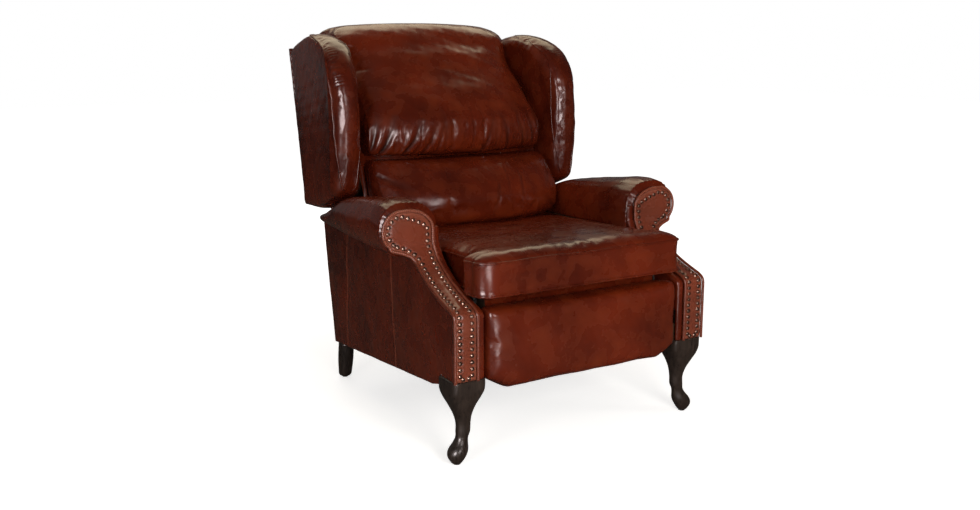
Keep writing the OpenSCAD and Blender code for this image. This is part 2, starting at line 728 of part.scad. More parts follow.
// Channel on the arm frame; its lips hold the slide bar
module seat_runner() {
    mouth = plate_x + steel_thickness + 2 * runner_gap;
    outer = slide_half + runner_gap + runner_wall;
    difference() {
        bar([mouth, slide_from - runner_spare, slide_height - outer],
            [frame_x - seam_gap, slide_to + runner_spare, slide_height + outer]);
        bar([mouth - overrun, slide_from - runner_spare - overrun, slide_height - slide_half - runner_gap],
            [frame_x - runner_wall, slide_to + runner_spare + overrun, slide_height + slide_half + runner_gap]);
    }
}
spacer_radius = 11;
bolt_head = 3;
bolt_rim = 3;
bolt_wall = 6;
module plate_bolt_set() {
    for (p = bolt_places) {
        cross_pin(p, rail_x - rail_width + bolt_wall, plate_x + steel_thickness + seam_gap, bolt_radius);
        cross_pin(p, plate_x + steel_thickness + seam_gap, plate_x + steel_thickness + bolt_head,
            bolt_radius + bolt_rim);
        difference() {
            cross_pin(p, rail_x + seam_gap, plate_x - seam_gap, spacer_radius);
            cross_pin(p, rail_x - overrun, plate_x + overrun, bolt_radius + running_gap);
        }
    }
}
module plate_bolts() {
    color(steel)
        place()
            both_sides()
                plate_bolt_set();
}

// Seat frame
deck_thickness = 4;
deck_top = seat_bottom - soft_gap;
rail_top = deck_top - deck_thickness - soft_gap;
rail_tall = 46;
front_rail_y = 66;
front_rail_depth = 44;
rear_rail_extra = 8;
side_rail_start = front_rail_y + front_rail_depth;
rear_rail_end = 604;
seat_rear_from = rear_rail_end - rail_depth - rear_rail_extra;
module seat_side_rail() {
    difference() {
        bar([rail_x - rail_width, side_rail_start + seam_gap, rail_top - rail_tall],
            [rail_x, seat_rear_from - seam_gap, rail_top]);
        for (p = bolt_places)
            cross_pin(p, rail_x - rail_width + bolt_wall - seam_gap, rail_x + overrun,
                bolt_radius + running_gap);
    }
}
module seat_side_rails() {
    color(timber)
        place()
            both_sides()
                seat_side_rail();
}
module seat_front_rail() {
    color(timber)
        place()
            bar([-rail_x, front_rail_y, rail_top - rail_tall], [rail_x, side_rail_start, rail_top]);
}
module seat_rear_rail() {
    color(timber)
        place()
            bar([-rail_x, seat_rear_from, rail_top - rail_tall], [rail_x, rear_rail_end, rail_top]);
}
module seat_deck() {
    color(cloth)
        place()
            bar([-rail_x, front_rail_y, deck_top - deck_thickness], [rail_x, rear_rail_end, deck_top]);
}

// Sinuous wire springs
spring_wire = 2;
spring_count = 4;
spring_waves = 7;
spring_wave_points = 5;
spring_swing = 24;
spring_pitch = 105;
spring_sag = 10;
// Points of one wavy wire between two places
function wavy(from, to, x) =
    let (n = spring_waves * spring_wave_points)
    [for (k = [0:n]) mix(from, to, k / n) + [x + spring_swing * sin(360 * k / spring_wave_points), 0, 0]];
module spring_row(from, to, normal) {
    for (k = [0:spring_count - 1])
        let (path = wavy(from, to, spring_pitch * (k - (spring_count - 1) / 2)))
        tube(path, [for (p = path) normal], spring_wire, 4);
}
module seat_springs() {
    z = rail_top - spring_sag;
    color(steel)
        place()
            spring_row([0, side_rail_start + spring_wire, z], [0, seat_rear_from - spring_wire, z],
                [0, 0, 1]);
}

// Loops for cushions: a rounded rectangle whose sides draw in between the corners
corner_points = 5;
side_points = 5;
corner_signs = [[1, 1], [-1, 1], [-1, -1], [1, -1]];
quarter_turn = 90;
function corner_arc(cx, cy, r, from) = [for (k = [0:corner_points])
    let (a = from + quarter_turn * k / corner_points)
    [cx + r * cos(a), cy + r * sin(a)]];
function drawn_side(a, b, pull) = [for (k = [1:side_points])
    let (t = k / (side_points + 1))
    let (inward = unit([a[1] - b[1], b[0] - a[0]]))
    mix(a, b, t) + pull * 4 * t * (1 - t) * inward];
function cushion_loop(half_w, half_d, r, pull) =
    let (arcs = [for (i = [0:3])
        let (side = corner_signs[i])
        corner_arc(side[0] * (half_w - r), side[1] * (half_d - r), r, i * quarter_turn)])
    [for (i = [0:3])
        let (arc = arcs[i])
        let (next_start = arcs[(i + 1) % 4][0])
        each concat(arc, drawn_side(arc[corner_points], next_start, pull))];

// Seat cushion: height share of the thickness, inset, share of the crown
cushion_clear = 3;
cushion_front = -14;
cushion_corner = 44;
cushion_pull = 4;
// The front corners puff out over the posts, ahead of the arms
ear_table = [[40, 16], [66, 0]];
cushion_levels = [[0, 40, 0], [0, 10, 0], [0.03, 3, 0], [0.09, 0, 0], [0.3, 1.5, 0], [0.5, 2, 0],
    [0.72, 1.5, 0], [0.93, 0, 0], [0.99, 4, 0.04], [1, 16, 0.22], [1, 46, 0.5], [1, 92, 0.74],
    [1, 150, 0.92], [1, 215, 1]];
cushion_half_w = inner_x - cushion_clear;
cushion_half_d = cushion_depth / 2;
cushion_mid_y = cushion_front + cushion_half_d;
function cushion_z(level, y) =
    seat_bottom + cushion_thickness * level[0] + cushion_crown * level[2]
    - seat_drop * level[0] * (y - cushion_front) / cushion_depth;
module seat_cushion() {
    loop = cushion_loop(cushion_half_w, cushion_half_d, cushion_corner, cushion_pull);
    color(leather)
        place()
            skin([for (level = cushion_levels) [for (p = loop)
                let (y = cushion_mid_y + p[1] * (1 - level[1] / cushion_half_d))
                let (x = p[0] * (1 - level[1] / cushion_half_w) * (1 + lookup(y, ear_table) / cushion_half_w))
                [x, y, cushion_z(level, y)]]]);
}

// Outline of the back in side view
back_foot_z = 515;
back_foot_y = 943;
outside_thickness = 10;
function rear_line(z) = back_foot_y + (z - back_foot_z) * back_lean;
board_rear_gap = outside_thickness + soft_gap;
back_drop = 22.5;
back_low = seat_bottom - back_drop;
board_knee = 102;
board_line = [[back_low, 655], [back_low + board_knee, 625], [676, 700], [800, 775], [900, 850], [975, 905]];
function board_front(z) = lookup(z, board_line);
seam_half = 2;
head_low_z = pillow_seam + seam_half;
head_rise = back_height - head_low_z;
board_top_share = 0.742;
board_top = head_low_z + board_top_share * head_rise;
board_x = plate_x - steel_thickness - 2 * soft_gap;
board_thickness = 28;
board_outline = concat(
    [for (p = board_line) if (p[0] < board_top) [p[1], p[0]]],
    [[board_front(board_top), board_top], [rear_line(board_top) - board_rear_gap, board_top],
        [rear_line(back_low) - board_rear_gap, back_low]]);
module back_side() {
    side_sheet(board_outline, board_x - board_thickness, board_x);
}
rail_half = board_x - board_thickness - seam_gap;
back_rail_depth = 24;
back_rail_tall = 50;
back_rail_rise = 113;
back_rail_fall = 55;
back_rail_heights = [back_low + back_rail_rise, board_top - back_rail_fall];
back_rail_setback = 2;
function back_rail_y(z) = max(board_front(z), board_front(z + back_rail_tall)) + back_rail_setback;
module back_rails() {
    color(timber)
        place()
            for (z = back_rail_heights)
                let (y = back_rail_y(z))
                bar([-rail_half, y, z], [rail_half, y + back_rail_depth, z + back_rail_tall]);
}
module back_springs() {
    low = [0, back_rail_y(back_rail_heights[0]) + back_rail_depth / 2,
        back_rail_heights[0] + back_rail_tall + spring_wire];
    high = [0, back_rail_y(back_rail_heights[1]) + back_rail_depth / 2, back_rail_heights[1] - spring_wire];
    slope = unit(high - low);
    color(steel)
        place()
            spring_row(low, high, [0, slope[2], -slope[1]]);
}
outside_inset = 1;
outside_low_inset = 10;
outside_half = outer_x - wing_taper - outside_inset;
outside_low_half = inner_x - outside_low_inset;
outside_low_drop = 13;
outside_top_drop = 68;
outside_low = back_low - outside_low_drop;
outside_top = back_height - outside_top_drop;
flare = 3;
outside_stations = [[outside_low, outside_low_half], [back_foot_z, outside_low_half],
    [back_foot_z + flare, outside_half], [outside_top, outside_half]];
module outside_back() {
    color(leather)
        place()
            skin([for (s = outside_stations)
                let (y = rear_line(s[0]))
                [[-s[1], y, s[0]], [s[1], y, s[0]],
                    [s[1], y - outside_thickness, s[0]], [-s[1], y - outside_thickness, s[0]]]]);
}

// Wing outline in shares of its depth and height, from its bottom rear corner
wing_shares = [[0.64, 0.006], [0.497, 0.018], [0.316, 0.055], [0.136, 0.105], [0.07, 0.135], [0.04, 0.18],
    [0.02, 0.32], [0, 0.48], [0.004, 0.63], [0.035, 0.745], [0.09, 0.825], [0.166, 0.885],
    [0.25, 0.93], [0.362, 0.967], [0.49, 0.99], [0.616, 0.994], [0.778, 0.968], [0.907, 0.94]];
wing_steps = 2;
wing_front = 593;
wing_inner_gap = 5;
wing_inner_x = inner_x + wing_inner_gap;
wing_rear_gap = outside_thickness + soft_gap;
wing_rear_share = 0.914;
wing_top_rear = back_foot_z + wing_rear_share * wing_height;
wing_loop = concat(
    [[rear_line(back_foot_z) - wing_rear_gap, back_foot_z]],
    smooth([for (s = wing_shares)
        [wing_front + s[0] * wing_depth, back_foot_z + s[1] * wing_height]], wing_steps),
    [for (t = [0:0.25:0.75])
        let (z = mix(wing_top_rear, back_foot_z, t))
        [rear_line(z) - wing_rear_gap, z]]);
wing_half = [wing_depth / 2, wing_height / 2];
wing_mid = [wing_front, back_foot_z] + wing_half;
// The nose is a half round that stands outside the line of the arm
nose_radius = 40;
nose_reach = 130;
nose_spread = 24;
nose_shift = 23;
nose_places = [wing_front + nose_radius, wing_front + nose_reach];
wing_outer_line = [[nose_places[0], outer_x + nose_spread], [wing_front + wing_depth, outer_x - wing_taper]];
wing_inner_line = [[nose_places[0], wing_inner_x + nose_shift], [nose_places[1], wing_inner_x]];
function nose_share(y) = pow(max(0, 1 - (y - wing_front) / nose_reach), 2);
// Level: share across the wing, inset of the outline, share of the nose's radius
wing_levels = [[0, 30, 0.25], [0.03, 16, 0.26], [0.1, 7, 0.22], [0.22, 2, 0.12], [0.4, 0, 0.02],
    [0.66, 0, 0.05], [0.84, 1, 0.24], [0.94, 5, 0.4], [1, 13, 0.68]];
function wing_ring(level) = [for (p = wing_loop)
    let (d = p - wing_mid)
    let (flat_y = wing_mid[0] + d[0] * (1 - level[1] / wing_half[0]))
    let (y = flat_y + nose_radius * level[2] * nose_share(flat_y))
    let (z = wing_mid[1] + d[1] * (1 - level[1] / wing_half[1]))
    [mix(lookup(y, wing_inner_line), lookup(y, wing_outer_line), level[0]),
        min(y, rear_line(z) - wing_rear_gap), z]];
module wing() {
    skin([for (level = wing_levels) wing_ring(level)]);
}
wing_frame_shares = [0.0585, 0.8382];
wing_frame_low = back_foot_z + wing_frame_shares[0] * wing_height;
wing_frame_high = min(back_foot_z + wing_frame_shares[1] * wing_height, board_top);
wing_frame_foot = 760;
wing_frame_shoulder = 882;
wing_frame_clear = 4;
wing_frame_heights = [for (t = [0.653, 0.361, 0.166]) back_foot_z + t * wing_height];
wing_frame_outline = concat([[wing_frame_foot, wing_frame_low]],
    [for (z = [wing_frame_low, wing_frame_high]) [rear_line(z) - board_rear_gap - wing_frame_clear, z]],
    [[wing_frame_shoulder + wing_frame_clear, wing_frame_high]],
    [for (z = wing_frame_heights) [board_front(z) + wing_frame_clear, z]]);
module wing_frame() {
    side_sheet(wing_frame_outline, board_x + seam_gap, wing_inner_x - seam_gap);
}
wing_welt_first = 8;
wing_welt_last = 6;
// Welt along the wing's outer edge, from its bottom front over the top to the rear
module wing_welt() {
    ring = wing_ring(wing_levels[7]);
    lift = [welt_radius + 2 * seam_gap, 0, 0];
    path = [for (i = [wing_welt_first:len(ring) - wing_welt_last]) ring[i] + lift];
    tube(path, [for (p = path) [1, 0, 0]], welt_radius, 6);
}
module wing_welts() {
    color(dark_leather)
        place()
            both_sides()
                wing_welt();
}

// Pillows: height, front at the middle, front at the edge, rear, half width
pillow_side_gap = 4;
pillow_rear_gap = 1;
pillow_half = inner_x - pillow_side_gap;
pillow_power = 2.6;
pillow_front_points = 16;
pillow_rear_points = 5;
function pillow_ring(level) =
    concat(
        [for (k = [0:pillow_front_points])
            let (t = -1 + 2 * k / pillow_front_points)
            [level[4] * t, mix(level[1], level[2], pow(abs(t), pillow_power)), level[0]]],
        [for (k = [0:pillow_rear_points])
            [level[4] * (1 - 2 * k / pillow_rear_points), level[3], level[0]]]);
function level_at(z, edge, bulge_share, width_share) =
    [z, edge - pillow_bulge * bulge_share, edge, board_front(z) - pillow_rear_gap, pillow_half * width_share];
lumbar_step = 104;
lumbar_low = back_low + lumbar_step;
lumbar_rise = pillow_seam - seam_half - lumbar_low;
// Height share, edge depth, bulge share, width share
lumbar_table = [[0, 588, 0.72, 0.95], [0.04, 572, 1, 0.985], [0.14, 561, 1.1, 1], [0.3, 557, 1.08, 1],
    [0.48, 563, 1.02, 1], [0.66, 588, 1.02, 1], [0.82, 612, 0.9, 1], [0.94, 634, 0.7, 0.99],
    [1, 658, 0.5, 0.96]];
module lumbar_pillow() {
    color(leather)
        place()
            skin([for (s = smooth(lumbar_table, 2))
                pillow_ring(level_at(lumbar_low + lumbar_rise * s[0], s[1], s[2], s[3]))]);
}
head_table = [[0, 668, 0.45, 0.96], [0.03, 655, 0.62, 0.985], [0.1, 650, 0.8, 1], [0.22, 655, 0.86, 1],
    [0.36, 695, 0.86, 1], [0.5, 742, 0.84, 1], [0.64, 800, 0.84, 1], [0.76, 830, 0.72, 1]];
// Upper levels, where the pillow turns over the top: height share, middle, edge, rear, width share
crown_table = [[0.83, 797, 842, 1023, 1], [0.9, 825, 858, 1022, 1], [0.955, 852, 885, 1008, 0.985],
    [0.985, 876, 905, 985, 0.93], [1, 905, 925, 952, 0.8]];
module head_pillow() {
    lower = [for (s = smooth(head_table, 2)) level_at(head_low_z + head_rise * s[0], s[1], s[2], s[3])];
    upper = [for (s = smooth(crown_table, 2))
        [head_low_z + head_rise * s[0], s[1], s[2],
            min(s[3], rear_line(head_low_z + head_rise * s[0]) - board_rear_gap), pillow_half * s[4]]];
    color(leather)
        place()
            skin([for (level = concat(lower, upper)) pillow_ring(level)]);
}
apron_thickness = 8;
apron_steps = [20, 100];
apron_low_z = back_low + apron_steps[0];
apron_top_z = back_low + apron_steps[1];
module back_apron() {
    half = board_x - board_thickness;
    color(leather)
        place()
            skin([for (out = [1, apron_thickness + 1]) [
                for (c = [[-1, apron_low_z], [1, apron_low_z], [1, apron_top_z], [-1, apron_top_z]])
                    [c[0] * half, board_front(c[1]) - out, c[1]]]]);
}
bracket_corners = [[-24, -10], [-10, -24], [10, -24], [26, -6], [60, 55], [50, 150], [-60, 150], [-80, 65]];
bracket_outline = [for (c = bracket_corners) recline_pivot + c];
recline_pin_reach = 60;
module back_bracket() {
    bracket_from = board_x + seam_gap;
    side_sheet(bracket_outline, bracket_from, bracket_from + steel_thickness);
    cross_pin(recline_pivot, bracket_from + steel_thickness, plate_x + steel_thickness, recline_pin_radius);
    cross_pin(recline_pivot, board_x - recline_pin_reach, bracket_from, recline_pin_radius);
}
module back_brackets() {
    color(steel)
        place()
            both_sides()
                back_bracket();
}
// Coil round each recline pin
coil_turns = 6;
coil_turn_points = 12;
coil_wire = 2.5;
coil_radius = recline_pin_radius + coil_wire + 2 * seam_gap;
coil_pitch = 7;
module recline_spring() {
    n = coil_turns * coil_turn_points;
    start = board_x - coil_wire - soft_gap;
    path = [for (k = [0:n])
        let (a = 360 * k / coil_turn_points)
        [start - coil_pitch * k / coil_turn_points, recline_pivot[0] + coil_radius * cos(a),
            recline_pivot[1] + coil_radius * sin(a)]];
    tube(path, [for (k = [0:n])
        let (a = 360 * k / coil_turn_points)
        [0, cos(a), sin(a)]], coil_wire, 6);
}
module recline_springs() {
    color(steel)
        place()
            both_sides()
                recline_spring();
}

// Footrest
pad_drop = 22.5;
pad_top = seat_bottom - pad_drop;
footrest_low = pad_top - footrest_height;
pad_half = footrest_width / 2;
cut_rise = 32;
pad_crown = 6;
pad_corner_shares = [[0, 1], [0.5, 1], [0.93, 1], [0.985, 0.985], [1, 0.93], [1, 0.6], [1, 0.3]];
pad_right = concat(
    [for (s = pad_corner_shares) [pad_half * s[0], mix(footrest_low, pad_top, s[1])]],
    [[pad_half, footrest_low + cut_rise], [pad_half - corner_cut / 2, footrest_low + cut_rise / 2],
        [pad_half - corner_cut, footrest_low], [pad_half / 2, footrest_low], [0, footrest_low]]);
pad_left = [for (i = [len(pad_right) - 2:-1:1]) [-pad_right[i][0], pad_right[i][1]]];
pad_loop = concat(pad_right, pad_left);
// Level: depth share of the thickness, inset, crown share
pad_levels = [[1, 30, 0], [1, 5, 0], [0.92, 1, 0], [0.72, 0, 0], [0.4, 0, 0], [0.2, 2, 0], [0.08, 7, 0],
    [0.02, 14, 0.05], [0, 26, 0.35], [0, 50, 0.75], [0, 80, 1]];
module footrest_pad() {
    middle = [0, footrest_low + footrest_height / 2];
    half = [pad_half, footrest_height / 2];
    color(leather)
        place()
            skin([for (level = pad_levels) [for (p = pad_loop)
                let (d = p - middle)
                [middle[0] + d[0] * (1 - level[1] / half[0]),
                    footrest_thickness * level[0] - pad_crown * level[2],
                    middle[1] + d[1] * (1 - level[1] / half[1])]]]);
}
board_from = footrest_thickness + soft_gap;
board_depth = 12;
foot_board_half = rail_x;
foot_board_margins = [24, 18];
foot_board_low = footrest_low + foot_board_margins[0];
foot_board_high = pad_top - foot_board_margins[1];
module footrest_board() {
    color(timber)
        place()
            bar([-foot_board_half, board_from, foot_board_low],
                [foot_board_half, board_from + board_depth, foot_board_high]);
}
flange_thickness = 3;
flange_width = 34;
flange_half = 45;
module footrest_bracket() {
    from_y = board_from + board_depth + seam_gap;
    difference() {
        union() {
            cross_pin(end_joint, bracket_x, bracket_x + steel_thickness, link_half);
            bar([bracket_x, from_y, end_joint[1] - link_half],
                [bracket_x + steel_thickness, end_joint[0], end_joint[1] + link_half]);
            bar([bracket_x - flange_width, from_y, end_joint[1] - flange_half],
                [bracket_x + steel_thickness, from_y + flange_thickness, end_joint[1] + flange_half]);
        }
        pin_hole(end_joint, bracket_x, running_gap);
    }
}
module footrest_brackets() {
    color(steel)
        place()
            both_sides()
                footrest_bracket();
}

// The model stands with the middle of its depth at the origin
front_reach = cushion_front;
rear_reach = rear_line(outside_top);
depth_mid = (front_reach + rear_reach) / 2;

color(timber) place() arm_frame();  // arm_frame_left
color(timber) place() mirrored() arm_frame();  // arm_frame_right
color(leather) place() outside_arm();  // outside_arm_left
color(leather) place() mirrored() outside_arm();  // outside_arm_right
color(leather) place() inside_arm();  // inside_arm_left
color(leather) place() mirrored() inside_arm();  // inside_arm_right
color(leather) place() arm_roll();  // arm_roll_left
color(leather) place() mirrored() arm_roll();  // arm_roll_right
color(leather) place() front_facing();  // arm_front_left
color(leather) place() mirrored() front_facing();  // arm_front_right
color(dark_leather) place() both_sides() arm_welt();  // arm_welts
color(antique_brass) place() nails();  // arm_nails_left
color(antique_brass) place() mirrored() nails();  // arm_nails_right
color(leather) place() arm_end();  // arm_end_left
color(leather) place() mirrored() arm_end();  // arm_end_right
color(leg_wood) place() front_leg();  // front_leg_left
color(leg_wood) place() mirrored() front_leg();  // front_leg_right
color(leg_wood) place() rear_leg();  // rear_leg_left
color(leg_wood) place() mirrored() rear_leg();  // rear_leg_right
color(steel) place() both_sides() leg_bolt_pair();  // leg_bolts
color(cloth) place() both_sides() glide_pair();  // floor_glides
color(timber) place() both_sides() corner_block_pair();  // corner_blocks
front_stretcher();
rear_rail();
base_rear_panel();
color(steel) place() seat_runner();  // seat_runner_left
color(steel) place() mirrored() seat_runner();  // seat_runner_right
seat_side_rails();
seat_front_rail();
seat_rear_rail();
seat_springs();
seat_deck();
seat_cushion();
color(steel) place() side_plate();  // side_plate_left
color(steel) place() mirrored() side_plate();  // side_plate_right
plate_bolts();
color(timber) place() back_side();  // back_side_left
color(timber) place() mirrored() back_side();  // back_side_right
back_rails();
back_springs();
outside_back();
color(leather) place() wing();  // wing_left
color(leather) place() mirrored() wing();  // wing_right
color(timber) place() wing_frame();  // wing_frame_left
color(timber) place() mirrored() wing_frame();  // wing_frame_right
wing_welts();
head_pillow();
lumbar_pillow();
back_apron();
back_brackets();
recline_springs();
footrest_board();
footrest_pad();
footrest_brackets();
drive_links();
torque_tube();
cross_links();
front_links();
upper_links();
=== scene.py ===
import json
import math
import random

import bmesh
import bpy
import numpy as np
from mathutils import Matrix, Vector
from mathutils.bvhtree import BVHTree


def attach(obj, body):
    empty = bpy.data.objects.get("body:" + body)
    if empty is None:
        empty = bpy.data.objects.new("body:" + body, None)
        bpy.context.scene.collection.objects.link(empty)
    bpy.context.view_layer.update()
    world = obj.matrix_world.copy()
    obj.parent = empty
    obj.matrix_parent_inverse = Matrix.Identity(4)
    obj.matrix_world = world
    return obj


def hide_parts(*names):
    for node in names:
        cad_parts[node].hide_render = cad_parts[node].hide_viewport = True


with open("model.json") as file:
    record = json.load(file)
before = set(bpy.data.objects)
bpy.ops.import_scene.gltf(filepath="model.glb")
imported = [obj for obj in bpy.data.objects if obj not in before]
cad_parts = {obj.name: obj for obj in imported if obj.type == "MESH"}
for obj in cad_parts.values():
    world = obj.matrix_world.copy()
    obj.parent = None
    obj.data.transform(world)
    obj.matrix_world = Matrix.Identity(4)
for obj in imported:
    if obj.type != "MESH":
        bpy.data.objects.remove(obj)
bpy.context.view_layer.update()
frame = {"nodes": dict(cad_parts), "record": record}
nodes = frame["nodes"]
scene = bpy.context.scene
mm = 0.001
midDepth = 511.494        # the post's face stands this far in front of the frame's origin, in mm
print("frame loaded:", len(nodes), "nodes")


# Small maths that every piece uses

def toFrame(points):     # maker's millimetres, with depth counted from the post's face, to metres in the frame
    points = np.array(points, float).reshape(-1, 3)
    return (points - np.array([0, midDepth, 0])) * mm


def lerp(a, b, t):
    return a + (b - a) * t


def ease(t):
    t = np.clip(t, 0, 1)
    return t * t * (3 - 2 * t)


def tableAt(table, x):
    return np.interp(x, [row[0] for row in table], [row[1] for row in table])


def splinePath(points, steps):
    p = np.array(points, float)
    out = []
    for i in range(len(p) - 1):
        a, b, c, d = p[max(i - 1, 0)], p[i], p[i + 1], p[min(i + 2, len(p) - 1)]
        for k in range(steps):
            t = k / steps
            out.append((2 * b + (c - a) * t + (2 * a - 5 * b + 4 * c - d) * t * t
                        + (3 * b - a - 3 * c + d) * t ** 3) / 2)
    out.append(p[-1])
    return np.array(out)


def runs(path):          # length along a path at each of its points
    return np.concatenate([[0], np.cumsum(np.linalg.norm(np.diff(path, axis=0), axis=1))])


def evenPath(path, spacing, closed=False):
    path = np.array(path, float)
    if closed:
        path = np.vstack([path, path[:1]])
    run = runs(path)
    count = max(int(round(run[-1] / spacing)), 3)
    s = np.linspace(0, run[-1], count + 1)
    even = np.column_stack([np.interp(s, run, path[:, k]) for k in range(path.shape[1])])
    return even[:-1] if closed else even


def waves(points, size, seed, count=10):    # smooth, seeded unevenness between about -1 and 1
    rng = np.random.default_rng(seed)
    total = np.zeros(len(points))
    for k in range(count):
        direction = rng.normal(size=points.shape[1])
        direction /= np.linalg.norm(direction)
        turn = 2 * math.pi / (size * rng.uniform(0.6, 1.7))
        total += np.sin(points @ direction * turn + rng.uniform(0, 2 * math.pi))
    return total / math.sqrt(count)


# Mesh helpers

def newPiece(name, points, faces, smooth=True):
    mesh = bpy.data.meshes.new(name)
    mesh.from_pydata([tuple(p) for p in points], [], [tuple(f) for f in faces])
    mesh.validate()
    tidyMesh(mesh, smooth)
    piece = bpy.data.objects.new(name, mesh)
    scene.collection.objects.link(piece)
    return piece


def tidyMesh(mesh, smooth=True):
    bm = bmesh.new()
    bm.from_mesh(mesh)
    bmesh.ops.remove_doubles(bm, verts=bm.verts, dist=1e-6)
    bmesh.ops.recalc_face_normals(bm, faces=bm.faces)
    bm.to_mesh(mesh)
    bm.free()
    for face in mesh.polygons:
        face.use_smooth = smooth
    mesh.update()


def skinRings(rings, closeEnds=True):       # quads between closed rings of equal length
    n = len(rings[0])
    points = [p for ring in rings for p in ring]
    faces = [(i * n + j, i * n + (j + 1) % n, (i + 1) * n + (j + 1) % n, (i + 1) * n + j)
             for i in range(len(rings) - 1) for j in range(n)]
    if closeEnds:
        for i in (0, len(rings) - 1):
            hub = len(points)
            points.append(np.mean(rings[i], axis=0))
            faces += [(i * n + j, i * n + (j + 1) % n, hub) for j in range(n)]
    return points, faces


def slab(front, back):   # two grids of points, joined at their edges
    rows, cols = front.shape[:2]
    size = rows * cols
    points = np.vstack([front.reshape(-1, 3), back.reshape(-1, 3)])
    faces = []
    for i in range(rows - 1):
        for j in range(cols - 1):
            a = i * cols + j
            faces.append((a, a + 1, a + cols + 1, a + cols))
            faces.append((size + a, size + a + cols, size + a + cols + 1, size + a + 1))
    edge = ([(0, j) for j in range(cols)] + [(i, cols - 1) for i in range(1, rows)]
            + [(rows - 1, j) for j in range(cols - 2, -1, -1)] + [(i, 0) for i in range(rows - 2, 0, -1)])
    ids = [i * cols + j for i, j in edge]
    for a, b in zip(ids, ids[1:] + ids[:1]):
        faces.append((a, a + size, b + size, b))
    return points, faces


def tubeRings(path, outward, radius, sides):
    path, outward = np.array(path, float), np.array(outward, float)
    radius = np.broadcast_to(radius, len(path))
    along = np.gradient(path, axis=0)
    along /= np.linalg.norm(along, axis=1)[:, None]
    side = np.cross(along, outward)
    side /= np.linalg.norm(side, axis=1)[:, None]
    up = np.cross(side, along)
    angles = np.linspace(0, 2 * math.pi, sides, endpoint=False)
    return [path[i] + radius[i] * (np.outer(np.cos(angles), up[i]) + np.outer(np.sin(angles), side[i]))
            for i in range(len(path))]


def coordinates(piece):
    co = np.zeros(len(piece.data.vertices) * 3, np.float32)
    piece.data.vertices.foreach_get("co", co)
    return co.reshape(-1, 3).astype(float)


def setCoordinates(piece, co):
    piece.data.vertices.foreach_set("co", co.astype(np.float32).ravel())
    piece.data.update()


def normalsOf(piece):
    no = np.zeros(len(piece.data.vertices) * 3, np.float32)
    piece.data.vertices.foreach_get("normal", no)
    return no.reshape(-1, 3).astype(float)


def paintShare(piece, name, values):        # one number per point, which the materials read
    layer = piece.data.attributes.get(name) or piece.data.attributes.new(name, "FLOAT", "POINT")
    layer.data.foreach_set("value", np.clip(values, 0, 1).astype(np.float32))


def applyAll(piece):
    mesh = bpy.data.meshes.new_from_object(piece.evaluated_get(bpy.context.evaluated_depsgraph_get()))
    piece.modifiers.clear()
    piece.data = mesh
    for face in mesh.polygons:
        face.use_smooth = True


def copyOfNode(node, name):
    piece = bpy.data.objects.new(name, nodes[node].data.copy())
    piece.data.materials.clear()
    scene.collection.objects.link(piece)
    tidyMesh(piece.data)
    return piece


def remeshed(piece, voxel, smoothing):
    remesh = piece.modifiers.new("even", "REMESH")
    remesh.mode = "VOXEL"
    remesh.voxel_size = voxel * mm
    if smoothing:
        relax = piece.modifiers.new("relax", "SMOOTH")
        relax.factor = 0.5
        relax.iterations = smoothing
    applyAll(piece)


def inflate(piece, pressure, reach, frames=20):     # cloth under pressure; reach caps each point's way, in mm
    rest = coordinates(piece)
    cloth = piece.modifiers.new("cloth", "CLOTH")
    cloth.settings.use_pressure = True
    cloth.settings.uniform_pressure_force = pressure
    cloth.settings.effector_weights.gravity = 0
    cloth.settings.tension_stiffness = 12
    cloth.settings.compression_stiffness = 12
    cloth.settings.bending_stiffness = 0.8
    cloth.settings.quality = 4
    cloth.point_cache.frame_start = 1
    cloth.point_cache.frame_end = frames
    for f in range(1, frames + 1):
        scene.frame_set(f)
    evaluated = piece.evaluated_get(bpy.context.evaluated_depsgraph_get())
    co = np.zeros(len(rest) * 3, np.float32)
    evaluated.data.vertices.foreach_get("co", co)
    move = co.reshape(-1, 3).astype(float) - rest
    way = np.linalg.norm(move, axis=1)
    reach = np.broadcast_to(reach, len(rest)) * mm
    scale = np.where(way > reach, reach / np.maximum(way, 1e-9), 1)
    piece.modifiers.clear()
    scene.frame_set(1)
    setCoordinates(piece, rest + move * scale[:, None])


def subdivided(piece):
    finer = piece.modifiers.new("finer", "SUBSURF")
    finer.levels = finer.render_levels = 1
    applyAll(piece)


def keepWithin(piece, low, high):           # holds a piece in a box given in maker's millimetres
    low, high = toFrame(low)[0], toFrame(high)[0]
    setCoordinates(piece, np.clip(coordinates(piece), low, high))


def foldLines(piece, lines, axes, facing):
    # presses pleats into a piece: each line is (start, end, width, depth), in mm across two axes
    co = coordinates(piece)
    flat = (co / mm + np.array([0, midDepth, 0]))[:, axes]
    normals = normalsOf(piece)
    press = np.zeros(len(co))
    shade = np.zeros(len(co))
    for start, end, width, depth in lines:
        start, end = np.array(start, float), np.array(end, float)
        way = end - start
        length = np.linalg.norm(way)
        t = np.clip((flat - start) @ way / length ** 2, -0.2, 1.2)
        near = start + t[:, None] * way
        off = (flat - near) @ np.array([-way[1], way[0]]) / length
        beyond = np.maximum(np.abs(t - 0.5) - 0.5, 0) * length
        wide = width * (0.6 + 0.8 * np.clip(t, 0, 1))
        fade = np.exp(-(beyond / width) ** 2) * (1 - 0.75 * ease(t))
        beside = 0.55 * np.exp(-((np.abs(off) - 1.5 * wide) / wide) ** 2)
        press += depth * fade * (beside - np.exp(-(off / wide) ** 2))
        # painted shade: darker along the middle of each pleat, stored for the leather to read
        shade += 0.16 * depth * fade * np.exp(-(off / (0.7 * wide)) ** 2)
    towards = np.clip(normals @ np.array(facing), 0, 1)
    press *= towards
    shade *= towards
    setCoordinates(piece, co + normals * (press * mm)[:, None])
    paintShare(piece, "creaseShade", shade)


